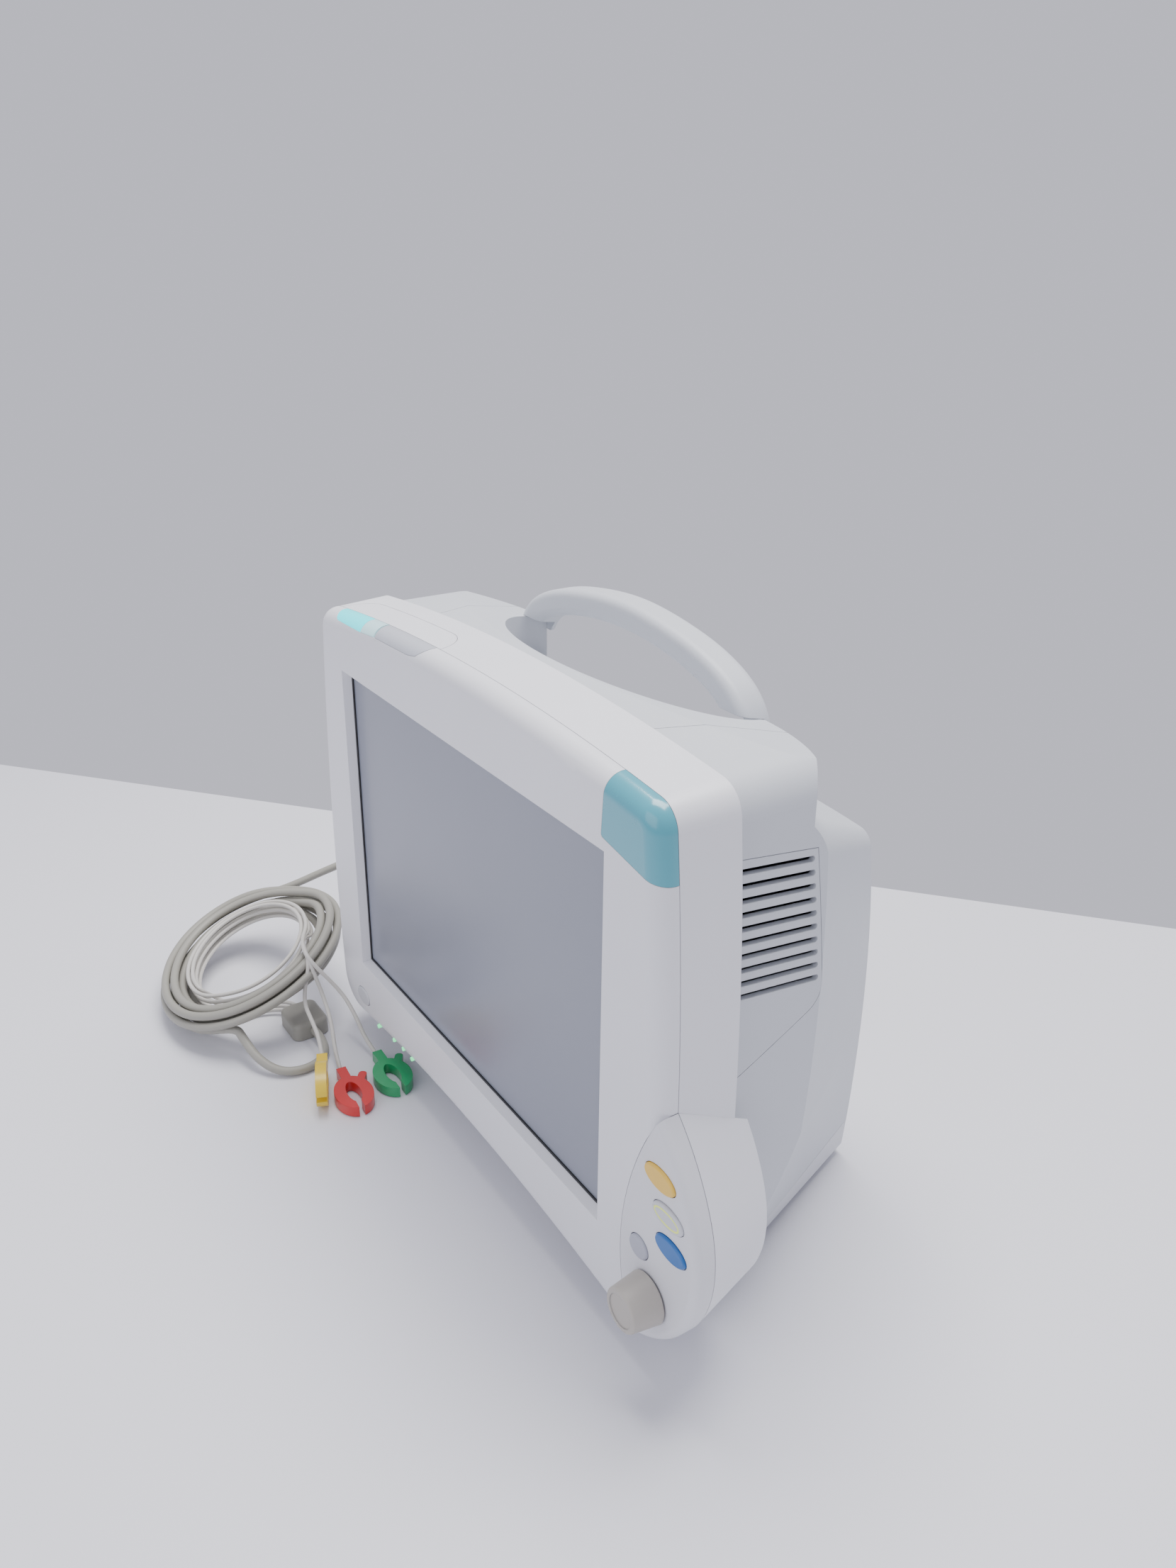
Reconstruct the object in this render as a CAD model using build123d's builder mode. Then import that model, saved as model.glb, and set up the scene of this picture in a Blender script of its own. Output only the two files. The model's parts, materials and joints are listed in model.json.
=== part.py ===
"""Bedside patient monitor: shells, screen, controls, side module bay, rear panel and inner parts.

Lengths are millimetres. +X is to the right of someone facing the screen, +Y is towards the back
and +Z is up. The origin is on the table, under the centre of the monitor's own bounding box.
Inside this file a place is given in body numbers: x from the body's centre line, y back from the
front face and z up from the table. front_at, side_at and plan_at turn them into planes.
"""
from build123d import *

import os
from math import atan, cos, degrees, pi, radians, sin, tan

os.makedirs("parts", exist_ok=True)

# ---------------------------------------------------------------- driving dimensions
CENTRE_X = -13.85               # the body's centre line in the row frame
FRONT_Y = -90.25                # the front face in the row frame

SCREEN_X = -2.0                 # screen centre, from the body's centre line
SCREEN_Z = 157.0                # screen centre above the table
OPENING_W = 264.0               # screen opening at the front face
OPENING_H = 192.7
RECESS_DEPTH = 5.2              # front face to glass
RECESS_INSET = 1.4              # how far each recess wall leans in

BEZEL_DEPTH = 10.0              # front face to the parting line
BEZEL_ROUND = 9.0               # rounding of the bezel's front edge
SEAM = 0.3                      # visible joint between neighbouring mouldings
WALL = 3.0                      # moulded wall thickness

RING_BACK = 40.0                # rear edge of the white housing
RING_FLARE = 1.7                # how much the white housing widens towards the back
POD_BACK = 47.0                 # rear edge of the control pod
POD_SHRINK = 10.0               # how much the pod narrows towards the back
POD_ROUND = 4.0                 # rounding of the pod's front edge

BODY_FRONT = 40.4               # front edge of the grey body
BODY_BACK = 184.0               # rear face of the grey body
UPPER_BACK = 109.0              # rear face of the upper part, above the rear bulge
TRAY_TOP = 25.0                 # top edge of the base tray
TRAY_BOTTOM = 7.0               # underside of the base tray
FOOT_HEIGHT = TRAY_BOTTOM

HANDLE_FRONT = 96.0
HANDLE_BACK = 118.0
HANDLE_TOP = 311.2              # top of the handle's arch

CORD_NODES = []                 # nodes of the free cords, left out of the bounding box of the monitor
BOXES = {}                      # bounding box of every node that has been written


# ---------------------------------------------------------------- planes and small helpers
def front_at(y):
    """Plane facing the user at depth y: sketch x is +X, sketch y is +Z, extrusion goes to the front."""
    return Plane(origin=(CENTRE_X, FRONT_Y + y, 0), x_dir=(1, 0, 0), z_dir=(0, -1, 0))


def side_at(x):
    """Plane facing right at x: sketch x is +Y, sketch y is +Z, extrusion goes to the right."""
    return Plane(origin=(CENTRE_X + x, FRONT_Y, 0), x_dir=(0, 1, 0), z_dir=(1, 0, 0))


def plan_at(z):
    """Plane facing up at height z: sketch x is +X, sketch y is +Y, extrusion goes up."""
    return Plane(origin=(CENTRE_X, FRONT_Y, z))


def write(builder, label, on_cord=False):
    """Labels a finished piece, writes its STEP file and notes its box."""
    builder.part.label = label
    export_step(builder.part, f"parts/{label}.step")
    box = builder.part.bounding_box()
    BOXES[label] = box
    if on_cord:
        CORD_NODES.append(label)
    print(f"{label:26s} {len(builder.part.solids())} solids {builder.part.volume / 1000:9.2f} cm3")


def slab(low, high, mode=Mode.ADD):
    """A box between two corners given in body numbers."""
    width = high[0] - low[0]
    depth = high[1] - low[1]
    with BuildSketch(plan_at(low[2])) as footprint:
        with Locations(((low[0] + high[0]) / 2, (low[1] + high[1]) / 2)):
            Rectangle(width, depth)
    extrude(footprint.sketch, amount=high[2] - low[2], mode=mode)


# ---------------------------------------------------------------- outlines
TOP_MID = (0, 293.0)
TOP_CORNER = (163.6, 283.2)
SIDE_MID = (173.2, 150.0)
BOTTOM_CORNER = (169.5, 13.0)
BOTTOM_MID = (0, 25.3)
TOP_CORNER_R = 13.0
BOTTOM_CORNER_R = 25.0


def mirrored(point):
    """The same point on the other side of the centre line."""
    return (-point[0], point[1])


def main_outline(grow=0.0):
    """Front outline of the bezel and the white housing, without the pod, grown on every side."""
    top_mid = (TOP_MID[0], TOP_MID[1] + grow)
    top_corner = (TOP_CORNER[0] + grow, TOP_CORNER[1] + grow)
    side_mid = (SIDE_MID[0] + grow, SIDE_MID[1])
    bottom_corner = (BOTTOM_CORNER[0] + grow, BOTTOM_CORNER[1] - grow)
    bottom_mid = (BOTTOM_MID[0], BOTTOM_MID[1] - grow)
    with BuildLine() as line:
        ThreePointArc(mirrored(top_corner), top_mid, top_corner)
        ThreePointArc(top_corner, side_mid, bottom_corner)
        ThreePointArc(bottom_corner, bottom_mid, mirrored(bottom_corner))
        ThreePointArc(mirrored(bottom_corner), mirrored(side_mid), mirrored(top_corner))
    outline = make_face(line.edges())
    rounded = fillet(outline.vertices().group_by(Axis.Y)[-1], TOP_CORNER_R + grow)
    fillet(rounded.vertices().group_by(Axis.Y)[0], BOTTOM_CORNER_R + grow)


POD_TIP = (173.4, 147.5)
POD_NECK = (160.6, 121.0)       # on the inner edge, between the tip and the waist
POD_WAIST = (151.0, 87.0)
POD_INNER_END = (154.5, 28.0)
POD_FOOT = (156.0, 15.6)
POD_BELLY = (181.8, 31.5)       # on the outer edge, from the foot upwards
POD_LOW = (198.4, 57.0)
POD_CHEEK = (198.8, 107.0)


def pod_outline(margin=0.0):
    """Drop-shaped outline of the control pod, tip up, with its inner edge on the bezel."""
    with BuildLine() as line:
        upper_inner = ThreePointArc(POD_TIP, POD_NECK, POD_WAIST)
        TangentArc(POD_WAIST, POD_INNER_END, tangent=upper_inner % 1)
        Line(POD_INNER_END, POD_FOOT)
        belly = ThreePointArc(POD_FOOT, POD_BELLY, POD_LOW)
        cheek = TangentArc(POD_LOW, POD_CHEEK, tangent=belly % 1)
        TangentArc(POD_CHEEK, POD_TIP, tangent=cheek % 1)
    make_face(line.edges())
    if margin:
        offset(amount=margin)


def lamp_region(left, right):
    """Part of the alarm lamp's front outline, between two x values."""
    with BuildLine() as line:
        Polyline((-149, 300), (-147.5, 288.5), (-139, 281.5), (-105, 283.0), (-88, 284.6), (-48, 286.2),
                 (-40, 287.5), (-22, 300), close=True)
    lens = make_face(line.edges())
    fillet(lens.vertices().group_by(Axis.Y)[0], 6)
    with Locations(((left + right) / 2, 290)):
        Rectangle(right - left, 40, mode=Mode.INTERSECT)


def badge_region(margin=0.0):
    """Front outline of the coloured corner badge."""
    with BuildLine() as line:
        Polyline((130.5, 300), (127.6, 259.5), (185, 248.5), (185, 300), close=True)
    badge_face = make_face(line.edges())
    fillet(badge_face.vertices().sort_by(Axis.X)[0], 1.5)
    if margin:
        offset(amount=margin)


BODY_TOP_MID = (0, 290.5)
BODY_TOP_CORNER = (160.5, 283.0)
BODY_SIDE_MID = (167.8, 180.0)
BODY_WAIST = (167.2, 100.0)
BODY_LOW_MID = (161.8, 50.0)
BODY_FOOT_CORNER = (147.0, TRAY_BOTTOM)
BODY_CORNER_R = 19.0


def body_front_outline(grow=0.0):
    """Front view of the grey body: low arch on top, sides that draw in towards the base."""
    def out(point):
        return (point[0] + grow, point[1])
    top_corner = (BODY_TOP_CORNER[0] + grow, BODY_TOP_CORNER[1] + grow)
    foot_corner = (BODY_FOOT_CORNER[0] + grow, BODY_FOOT_CORNER[1] - grow)
    with BuildLine() as line:
        ThreePointArc(mirrored(top_corner), (0, BODY_TOP_MID[1] + grow), top_corner)
        ThreePointArc(top_corner, out(BODY_SIDE_MID), out(BODY_WAIST))
        ThreePointArc(out(BODY_WAIST), out(BODY_LOW_MID), foot_corner)
        Line(foot_corner, mirrored(foot_corner))
        ThreePointArc(mirrored(foot_corner), mirrored(out(BODY_LOW_MID)), mirrored(out(BODY_WAIST)))
        ThreePointArc(mirrored(out(BODY_WAIST)), mirrored(out(BODY_SIDE_MID)), mirrored(top_corner))
    outline = make_face(line.edges())
    fillet(outline.vertices().group_by(Axis.Y)[-1], BODY_CORNER_R + grow)


# ---------------------------------------------------------------- front plate, cut into its pieces
def front_plate():
    """The whole front plate with its rounded edge, before it is divided."""
    with BuildPart() as plate:
        with BuildSketch(front_at(BEZEL_DEPTH)):
            main_outline()
        extrude(amount=BEZEL_DEPTH)
        rim = plate.faces().sort_by(Axis.Y)[0].outer_wire().edges()
        fillet(rim, BEZEL_ROUND)
    return plate.part


PLATE = front_plate()
PLATE_HOLLOW = 5.0              # the hollow back's distance from the outline
PLATE_SKIN = 3.2                # thickness left in front of the hollow
RIM = 8.0                       # solid frame left round the screen opening

LED_SPOTS = [(-116.0, 23.2), (-93.6, 26.3), (-80.6, 27.6), (-69.0, 27.4)]
LED_R = 1.3
STANDBY = (-135.5, 35.0)        # centre of the standby key
STANDBY_W = 17.0
STANDBY_H = 11.0
LAMP_LIT = (-160.0, -105.5)
LAMP_PALE = (-105.3, -88.6)
LAMP_WINDOW = (-87.4, -15.0)


def screen_rectangle(margin):
    """The screen opening's rectangle, grown by margin on each side."""
    with Locations((SCREEN_X, SCREEN_Z)):
        Rectangle(OPENING_W + 2 * margin, OPENING_H + 2 * margin)


with BuildPart() as front_bezel:
    add(PLATE)
    with BuildSketch(front_at(BEZEL_DEPTH)):
        main_outline(-PLATE_HOLLOW)
        with Locations((SCREEN_X, SCREEN_Z)):
            Rectangle(OPENING_W + 2 * RIM, OPENING_H + 2 * RIM, mode=Mode.SUBTRACT)
    extrude(amount=BEZEL_DEPTH - PLATE_SKIN, mode=Mode.SUBTRACT)
    with BuildSketch(front_at(0)):
        screen_rectangle(0)
    extrude(amount=-RECESS_DEPTH, taper=degrees(atan(RECESS_INSET / RECESS_DEPTH)), mode=Mode.SUBTRACT)
    with BuildSketch(front_at(BEZEL_DEPTH)):
        screen_rectangle(3.4)
    extrude(amount=BEZEL_DEPTH - RECESS_DEPTH, mode=Mode.SUBTRACT)
    with BuildSketch(front_at(BEZEL_DEPTH + 1)):
        pod_outline(SEAM)
    extrude(amount=BEZEL_DEPTH + 2, mode=Mode.SUBTRACT)
    with BuildSketch(front_at(BEZEL_DEPTH + 1)):
        lamp_region(-160, 0)
    extrude(amount=BEZEL_DEPTH + 2, mode=Mode.SUBTRACT)
    with BuildSketch(front_at(BEZEL_DEPTH + 1)):
        badge_region(SEAM / 2)
    extrude(amount=BEZEL_DEPTH + 2, mode=Mode.SUBTRACT)
    with BuildSketch(front_at(BEZEL_DEPTH)):
        with Locations(*LED_SPOTS):
            Circle(LED_R + 0.05)
        with Locations(STANDBY):
            Ellipse(STANDBY_W / 2 + SEAM, STANDBY_H / 2 + SEAM)
    extrude(amount=BEZEL_DEPTH, mode=Mode.SUBTRACT)
write(front_bezel, "front_bezel")

for label, span in (("lamp_lens_lit", LAMP_LIT), ("lamp_lens_pale", LAMP_PALE), ("lamp_window", LAMP_WINDOW)):
    with BuildPart() as lens_piece:
        add(PLATE)
        with BuildSketch(front_at(BEZEL_DEPTH)):
            lamp_region(*span)
            offset(amount=-SEAM / 2)
        extrude(amount=BEZEL_DEPTH, mode=Mode.INTERSECT)
    write(lens_piece, label)

with BuildPart() as corner_badge:
    add(PLATE)
    with BuildSketch(front_at(BEZEL_DEPTH)):
        badge_region()
    extrude(amount=BEZEL_DEPTH, mode=Mode.INTERSECT)
write(corner_badge, "corner_badge")


# ---------------------------------------------------------------- control pod: panel, keys and knob
KEY_W = 21.0
KEY_H = 11.0
KEY_GAP = 0.35
KEY_RISE = 1.3
KEY_DEPTH = 5.0                 # from the key's skirt to the panel's face
KEY_SKIRT = 0.8                 # how far the skirt reaches past the cap
KEYS = {                        # centre x, centre z, width, height, tilt
    "key_silence": (176.2, 119.6, KEY_W, KEY_H, 0),
    "key_alarms_off": (182.8, 103.8, KEY_W, KEY_H, 0),
    "key_main_screen": (185.6, 88.0, KEY_W, KEY_H, 0),
    "key_back": (163.3, 72.2, 13.0, 11.5, 0),
}
KNOB = (172.0, 50.5)
KNOB_BASE_R = 12.6
KNOB_FACE_R = 10.6
KNOB_HEIGHT = 16.0
KNOB_CLEAR = 0.8                # between the knob's base and the panel, more than the push
SHAFT_R = 3.0
SHAFT_FIT = 0.06                # running clearance of the knob's shaft
KNOB_CROWN = 6.0                # solid end of the knob in front of its shaft
PANEL_SKIN = 3.0


with BuildPart() as control_panel:
    with BuildSketch(front_at(BEZEL_DEPTH)):
        pod_outline()
    extrude(amount=BEZEL_DEPTH)
    panel_edges = control_panel.faces().sort_by(Axis.Y)[0].outer_wire().edges()
    outer_edges = [edge for edge in panel_edges if edge.center().X > CENTRE_X + POD_TIP[0]]
    fillet(outer_edges, POD_ROUND)
    with BuildSketch(front_at(BEZEL_DEPTH)):
        pod_outline(-POD_ROUND)
    extrude(amount=BEZEL_DEPTH - PANEL_SKIN, mode=Mode.SUBTRACT)
    with BuildSketch(front_at(BEZEL_DEPTH)):
        for x, z, width, height, tilt in KEYS.values():
            with Locations((x, z)):
                Ellipse(width / 2 + KEY_GAP, height / 2 + KEY_GAP, rotation=tilt)
        with Locations(KNOB):
            Circle(SHAFT_R + 0.5)
    extrude(amount=BEZEL_DEPTH, mode=Mode.SUBTRACT)
write(control_panel, "control_panel")


def key_cap(x, z, width, height, tilt, hollow=0.0):
    """An oval key: a skirt behind the panel and a domed cap that stands a little proud."""
    with BuildPart() as key:
        with BuildSketch(front_at(KEY_DEPTH)):
            with Locations((x, z)):
                Ellipse(width / 2, height / 2, rotation=tilt)
        extrude(amount=KEY_DEPTH + KEY_RISE)
        crown = key.faces().sort_by(Axis.Y)[0].outer_wire().edges()
        fillet(crown, KEY_RISE * 0.9)
        with BuildSketch(front_at(KEY_DEPTH)):
            with Locations((x, z)):
                Ellipse(width / 2 + KEY_SKIRT, height / 2 + KEY_SKIRT, rotation=tilt)
        extrude(amount=1.2)
        if hollow:
            with BuildSketch(front_at(-KEY_RISE)):
                with Locations((x, z)):
                    Ellipse(width / 2 - hollow, height / 2 - hollow, rotation=tilt)
                    Ellipse(width / 2 - hollow - 1.1, height / 2 - hollow - 1.1, rotation=tilt, mode=Mode.SUBTRACT)
            extrude(amount=-1.0, mode=Mode.SUBTRACT)
    return key.part


RING_INSET = 1.7                # from the alarm key's edge to its light ring
for label, (x, z, width, height, tilt) in KEYS.items():
    with BuildPart() as key:
        add(key_cap(x, z, width, height, tilt, RING_INSET if label == "key_alarms_off" else 0.0))
    write(key, label)

with BuildPart() as alarm_light_ring:
    ring_x, ring_z, ring_w, ring_h, ring_tilt = KEYS["key_alarms_off"]
    with BuildSketch(front_at(1.0 - KEY_RISE)):
        with Locations((ring_x, ring_z)):
            Ellipse(ring_w / 2 - RING_INSET, ring_h / 2 - RING_INSET, rotation=ring_tilt)
            Ellipse(ring_w / 2 - RING_INSET - 1.1, ring_h / 2 - RING_INSET - 1.1, rotation=ring_tilt,
                    mode=Mode.SUBTRACT)
    extrude(amount=1.0)
write(alarm_light_ring, "alarm_light_ring")

with BuildPart() as knob:
    with BuildSketch(front_at(-KNOB_CLEAR)):
        with Locations(KNOB):
            Circle(KNOB_BASE_R)
    extrude(amount=KNOB_HEIGHT - KNOB_CLEAR,
            taper=degrees(atan((KNOB_BASE_R - KNOB_FACE_R) / (KNOB_HEIGHT - KNOB_CLEAR))))
    fillet(knob.edges().group_by(Axis.Y)[0], 1.2)
    fillet(knob.edges().group_by(Axis.Y)[-1], 0.5)
    with BuildSketch(front_at(-KNOB_HEIGHT)):
        with Locations(KNOB):
            Circle(KNOB_FACE_R - 2.6)
    extrude(amount=-0.5, mode=Mode.SUBTRACT)
    with BuildSketch(front_at(-KNOB_CLEAR)):
        with Locations(KNOB):
            Circle(SHAFT_R + SHAFT_FIT)
    extrude(amount=KNOB_HEIGHT - KNOB_CLEAR - KNOB_CROWN, mode=Mode.SUBTRACT)
write(knob, "knob")

ENCODER_FRONT = 8.0
ENCODER_BACK = 16.0
with BuildPart() as knob_shaft:
    with BuildSketch(front_at(ENCODER_BACK - 1.5)):
        with Locations(KNOB):
            Circle(SHAFT_R)
    extrude(amount=ENCODER_BACK - 1.5 + KNOB_HEIGHT - KNOB_CROWN - 0.1)
write(knob_shaft, "knob_shaft")

with BuildPart() as encoder:
    with BuildSketch(front_at(ENCODER_BACK)):
        with Locations(KNOB):
            Rectangle(14, 14)
    extrude(amount=ENCODER_BACK - ENCODER_FRONT)
    with BuildSketch(front_at(ENCODER_FRONT)):
        with Locations(KNOB):
            Circle(5.0)
    extrude(amount=4.0)
    with BuildSketch(front_at(ENCODER_BACK - 0.7)):
        with Locations(KNOB):
            Circle(SHAFT_R + SHAFT_FIT)
    extrude(amount=ENCODER_BACK + 1, mode=Mode.SUBTRACT)
write(encoder, "encoder")

with BuildPart() as key_board:
    with BuildSketch(front_at(ENCODER_FRONT + 1.6)):
        pod_outline(-POD_ROUND - 2.0)
        with Locations(KNOB):
            Circle(6.0, mode=Mode.SUBTRACT)
            Rectangle(14.6, 14.6, mode=Mode.SUBTRACT)
    extrude(amount=1.2)
write(key_board, "key_board")

with BuildPart() as standby_key:
    with BuildSketch(front_at(KEY_DEPTH)):
        with Locations(STANDBY):
            Ellipse(STANDBY_W / 2, STANDBY_H / 2)
    extrude(amount=KEY_DEPTH + 0.9)
    fillet(standby_key.faces().sort_by(Axis.Y)[0].outer_wire().edges(), 0.8)
    with BuildSketch(front_at(KEY_DEPTH)):
        with Locations(STANDBY):
            Ellipse(STANDBY_W / 2 + KEY_SKIRT, STANDBY_H / 2 + KEY_SKIRT)
    extrude(amount=1.2)
write(standby_key, "standby_key")

with BuildPart() as led_guides:
    with BuildSketch(front_at(BEZEL_DEPTH)):
        with Locations(*LED_SPOTS):
            Circle(LED_R)
    extrude(amount=BEZEL_DEPTH)
write(led_guides, "led_guides")

# ---------------------------------------------------------------- white housing
HOUSING_FRONT = BEZEL_DEPTH + SEAM
LAMP_CAP_BACK = 27.0
LAMP_CAP_LEFT = -151.0
LAMP_CAP_RIGHT = -30.0


def housing_form(inset):
    """The white housing's outer form with the pod's back, as a solid, shrunk by inset behind the front."""
    with BuildPart() as form:
        with BuildSketch(front_at(HOUSING_FRONT)) as ring_front:
            main_outline(-inset)
        with BuildSketch(front_at(RING_BACK - inset)) as ring_rear:
            main_outline(RING_FLARE - inset)
        loft([ring_front.sketch, ring_rear.sketch])
        with BuildSketch(front_at(HOUSING_FRONT)) as pod_front:
            pod_outline(-inset)
        with BuildSketch(front_at(POD_BACK - inset)) as pod_rear:
            pod_outline(-POD_SHRINK - inset)
        loft([pod_front.sketch, pod_rear.sketch])
    return form.part


# the housing's rear opening: as wide as the inside of the grey body, as high as the ring allows
with BuildPart() as rear_opening:
    with BuildSketch(front_at(POD_BACK + 1)) as body_inside:
        body_front_outline(-WALL)
    extrude(body_inside.sketch, amount=POD_BACK - HOUSING_FRONT)
    with BuildSketch(front_at(POD_BACK + 1)) as ring_inside:
        main_outline(RING_FLARE - WALL)
    extrude(ring_inside.sketch, amount=POD_BACK - HOUSING_FRONT, mode=Mode.INTERSECT)

with BuildPart() as housing_shell:
    add(housing_form(0))
    add(housing_form(WALL), mode=Mode.SUBTRACT)
    add(rear_opening.part, mode=Mode.SUBTRACT)
    with BuildSketch(front_at(POD_BACK + 1)) as body_outside:
        body_front_outline(SEAM)
    extrude(body_outside.sketch, amount=POD_BACK + 1 - RING_BACK, mode=Mode.SUBTRACT)
HOUSING_SHELL = housing_shell.part

CAP_CENTRE = ((LAMP_CAP_LEFT + LAMP_CAP_RIGHT) / 2, (HOUSING_FRONT - 20 + LAMP_CAP_BACK) / 2)
CAP_W = LAMP_CAP_RIGHT - LAMP_CAP_LEFT
CAP_D = LAMP_CAP_BACK + 20 - HOUSING_FRONT

with BuildPart() as white_housing:
    add(HOUSING_SHELL)
    with BuildSketch(plan_at(240)):
        with Locations(CAP_CENTRE):
            SlotOverall(CAP_W + 2 * SEAM, CAP_D + 2 * SEAM)
    extrude(amount=80, mode=Mode.SUBTRACT)
write(white_housing, "white_housing")

with BuildPart() as lamp_cap:
    add(HOUSING_SHELL)
    with BuildSketch(plan_at(240)):
        with Locations(CAP_CENTRE):
            SlotOverall(CAP_W, CAP_D)
    extrude(amount=80, mode=Mode.INTERSECT)
write(lamp_cap, "lamp_cap")

# ---------------------------------------------------------------- grey body
BULGE_FRONT = 70.0              # the rear bulge is lofted from a profile at this depth to the rear face
BULGE_FRONT_SIDE = [(177.5, 264), (181.2, 183), (178, 98), (163, 49), (147, TRAY_BOTTOM)]
BULGE_FRONT_CROWN = 281.0
BULGE_BACK_SIDE = [(103, 202), (110, 150), (112.5, 90), (111, 45), (108, TRAY_BOTTOM)]
BULGE_BACK_CROWN = 207.0
BULGE_MARGIN = 2.0              # the shapes that round the rear edges stand this far outside the loft
UPPER_FLOOR = 200.0             # the upper block starts inside the bulge at this height
UPPER_KNEE = (162.0, 84.2)      # where the upper block's tight corner turns into its long sweep
UPPER_SIDE_END = 69.5           # where its straight side ends
TOP_FRONT_Z = 293.0
TOP_BACK_Z = 278.0

BLOCK_LEFT = -168.4             # straight-sided block on the left that takes the module bay
BLOCK_BACK = 154.0
BLOCK_TOP = 150.0


def bulge_profile(y, side, crown, corner_r, inset):
    """Closed front view of the rear bulge at depth y: side runs down from the shoulder to the foot."""
    shoulder, flank, waist, low, foot = [(x - inset, z) for x, z in side]
    shoulder = (shoulder[0], shoulder[1] - inset)
    foot = (foot[0], foot[1] + inset)
    with BuildSketch(front_at(y)) as profile:
        with BuildLine() as line:
            ThreePointArc(mirrored(shoulder), (0, crown - inset), shoulder)
            ThreePointArc(shoulder, flank, waist)
            ThreePointArc(waist, low, foot)
            Line(foot, mirrored(foot))
            ThreePointArc(mirrored(foot), mirrored(low), mirrored(waist))
            ThreePointArc(mirrored(waist), mirrored(flank), mirrored(shoulder))
        outline = make_face(line.edges())
        fillet(outline.vertices().group_by(Axis.Y)[-1], corner_r)
    return profile.sketch


def body_form(inset):
    """The grey body's outer form as a solid, shrunk by inset on every side but the front."""
    wide = BULGE_FRONT_SIDE[1][0] + BULGE_MARGIN - inset
    narrow = BULGE_BACK_SIDE[2][0] + BULGE_MARGIN - inset
    rear = BODY_BACK - inset
    with BuildPart() as lower:
        loft([bulge_profile(BULGE_FRONT, BULGE_FRONT_SIDE, BULGE_FRONT_CROWN, 16, inset),
              bulge_profile(rear, BULGE_BACK_SIDE, BULGE_BACK_CROWN, 10, inset)])
        with BuildSketch(plan_at(0)) as rounded_plan:
            with BuildLine() as plan_line:
                Polyline((-wide, BULGE_FRONT - 1), (-narrow, rear), (narrow, rear), (wide, BULGE_FRONT - 1),
                         close=True)
            plan_face = make_face(plan_line.edges())
            fillet(plan_face.vertices().group_by(Axis.Y)[-1], 18)
        extrude(rounded_plan.sketch, amount=300, mode=Mode.INTERSECT)
        with BuildSketch(side_at(-200)) as rounded_side:
            with BuildLine() as side_line:
                Polyline((BULGE_FRONT - 1, 0), (BULGE_FRONT - 1, BULGE_FRONT_CROWN + BULGE_MARGIN - inset),
                         (rear, BULGE_BACK_CROWN + BULGE_MARGIN - inset), (rear, 0), close=True)
            side_face = make_face(side_line.edges())
            fillet(side_face.vertices().sort_by(Axis.Y)[-2], 15)
        extrude(rounded_side.sketch, amount=400, mode=Mode.INTERSECT)
        slab((-175, BODY_FRONT, TRAY_BOTTOM + inset), (175, BULGE_FRONT, BULGE_FRONT_CROWN - inset))
    with BuildPart() as form:
        with BuildSketch(plan_at(UPPER_FLOOR + inset)):
            with BuildLine():
                Line((-169, BODY_FRONT), (169, BODY_FRONT))
                Line((169, BODY_FRONT), (169, UPPER_SIDE_END))
                right_turn = TangentArc((169, UPPER_SIDE_END), UPPER_KNEE, tangent=(0, 1))
                right_sweep = TangentArc(UPPER_KNEE, (98, UPPER_BACK), tangent=right_turn % 1)
                Line((98, UPPER_BACK), (-98, UPPER_BACK))
                mirror(right_turn, about=Plane.YZ)
                mirror(right_sweep, about=Plane.YZ)
                Line((-169, UPPER_SIDE_END), (-169, BODY_FRONT))
            make_face()
            if inset:
                offset(amount=-inset)
        extrude(amount=100)
        with BuildSketch(side_at(-200)):
            with BuildLine():
                Polyline((BODY_FRONT - 5, 150), (BODY_FRONT - 5, TOP_FRONT_Z + 1 - inset),
                         (UPPER_BACK, TOP_BACK_Z - inset), (UPPER_BACK, 150), close=True)
            make_face()
            fillet(vertices().sort_by(Axis.X)[-1], 1)
        extrude(amount=400, mode=Mode.INTERSECT)
        add(lower.part)
        with BuildSketch(front_at(BODY_BACK + 5)) as front_view:
            body_front_outline(-inset)
        extrude(front_view.sketch, amount=BODY_BACK + 5, mode=Mode.INTERSECT)
        with BuildSketch(side_at(BLOCK_LEFT + inset)) as block_side:
            with BuildLine() as block_line:
                Polyline((BODY_FRONT + inset, TRAY_TOP + SEAM + inset), (BODY_FRONT + inset, BLOCK_TOP - inset),
                         (BLOCK_BACK - inset, BLOCK_TOP - inset), (BLOCK_BACK - inset, TRAY_TOP + SEAM + inset),
                         close=True)
            block_face = make_face(block_line.edges())
            fillet(block_face.vertices().group_by(Axis.X)[-1], 8 - inset)
        extrude(block_side.sketch, amount=90)
    return form.part


FRONT_WALL_TOP = 30.0           # the body is open to the white housing above this height
RECESS_X = 4.0
RECESS_HALF_W = 96.0
RECESS_HALF_D = 47.0
RECESS_Y = 100.0


def grip_recess(grow):
    """The scooped finger space under the handle, open towards the back, grown by grow."""
    with BuildPart() as scoop:
        with BuildSketch(plan_at(245 - grow)):
            with Locations((RECESS_X, RECESS_Y)):
                Ellipse(RECESS_HALF_W + grow, RECESS_HALF_D + grow)
        extrude(amount=60)
        with BuildSketch(side_at(-150)):
            with BuildLine():
                Polyline((50 - grow, 310), (52 - grow, 286 - grow), (62 - grow, 270 - grow),
                         (112 + grow, 254 - grow), (125 + grow, 254 - grow), (125 + grow, 310), close=True)
            make_face()
        extrude(amount=300, mode=Mode.INTERSECT)
    return scoop.part


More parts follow.
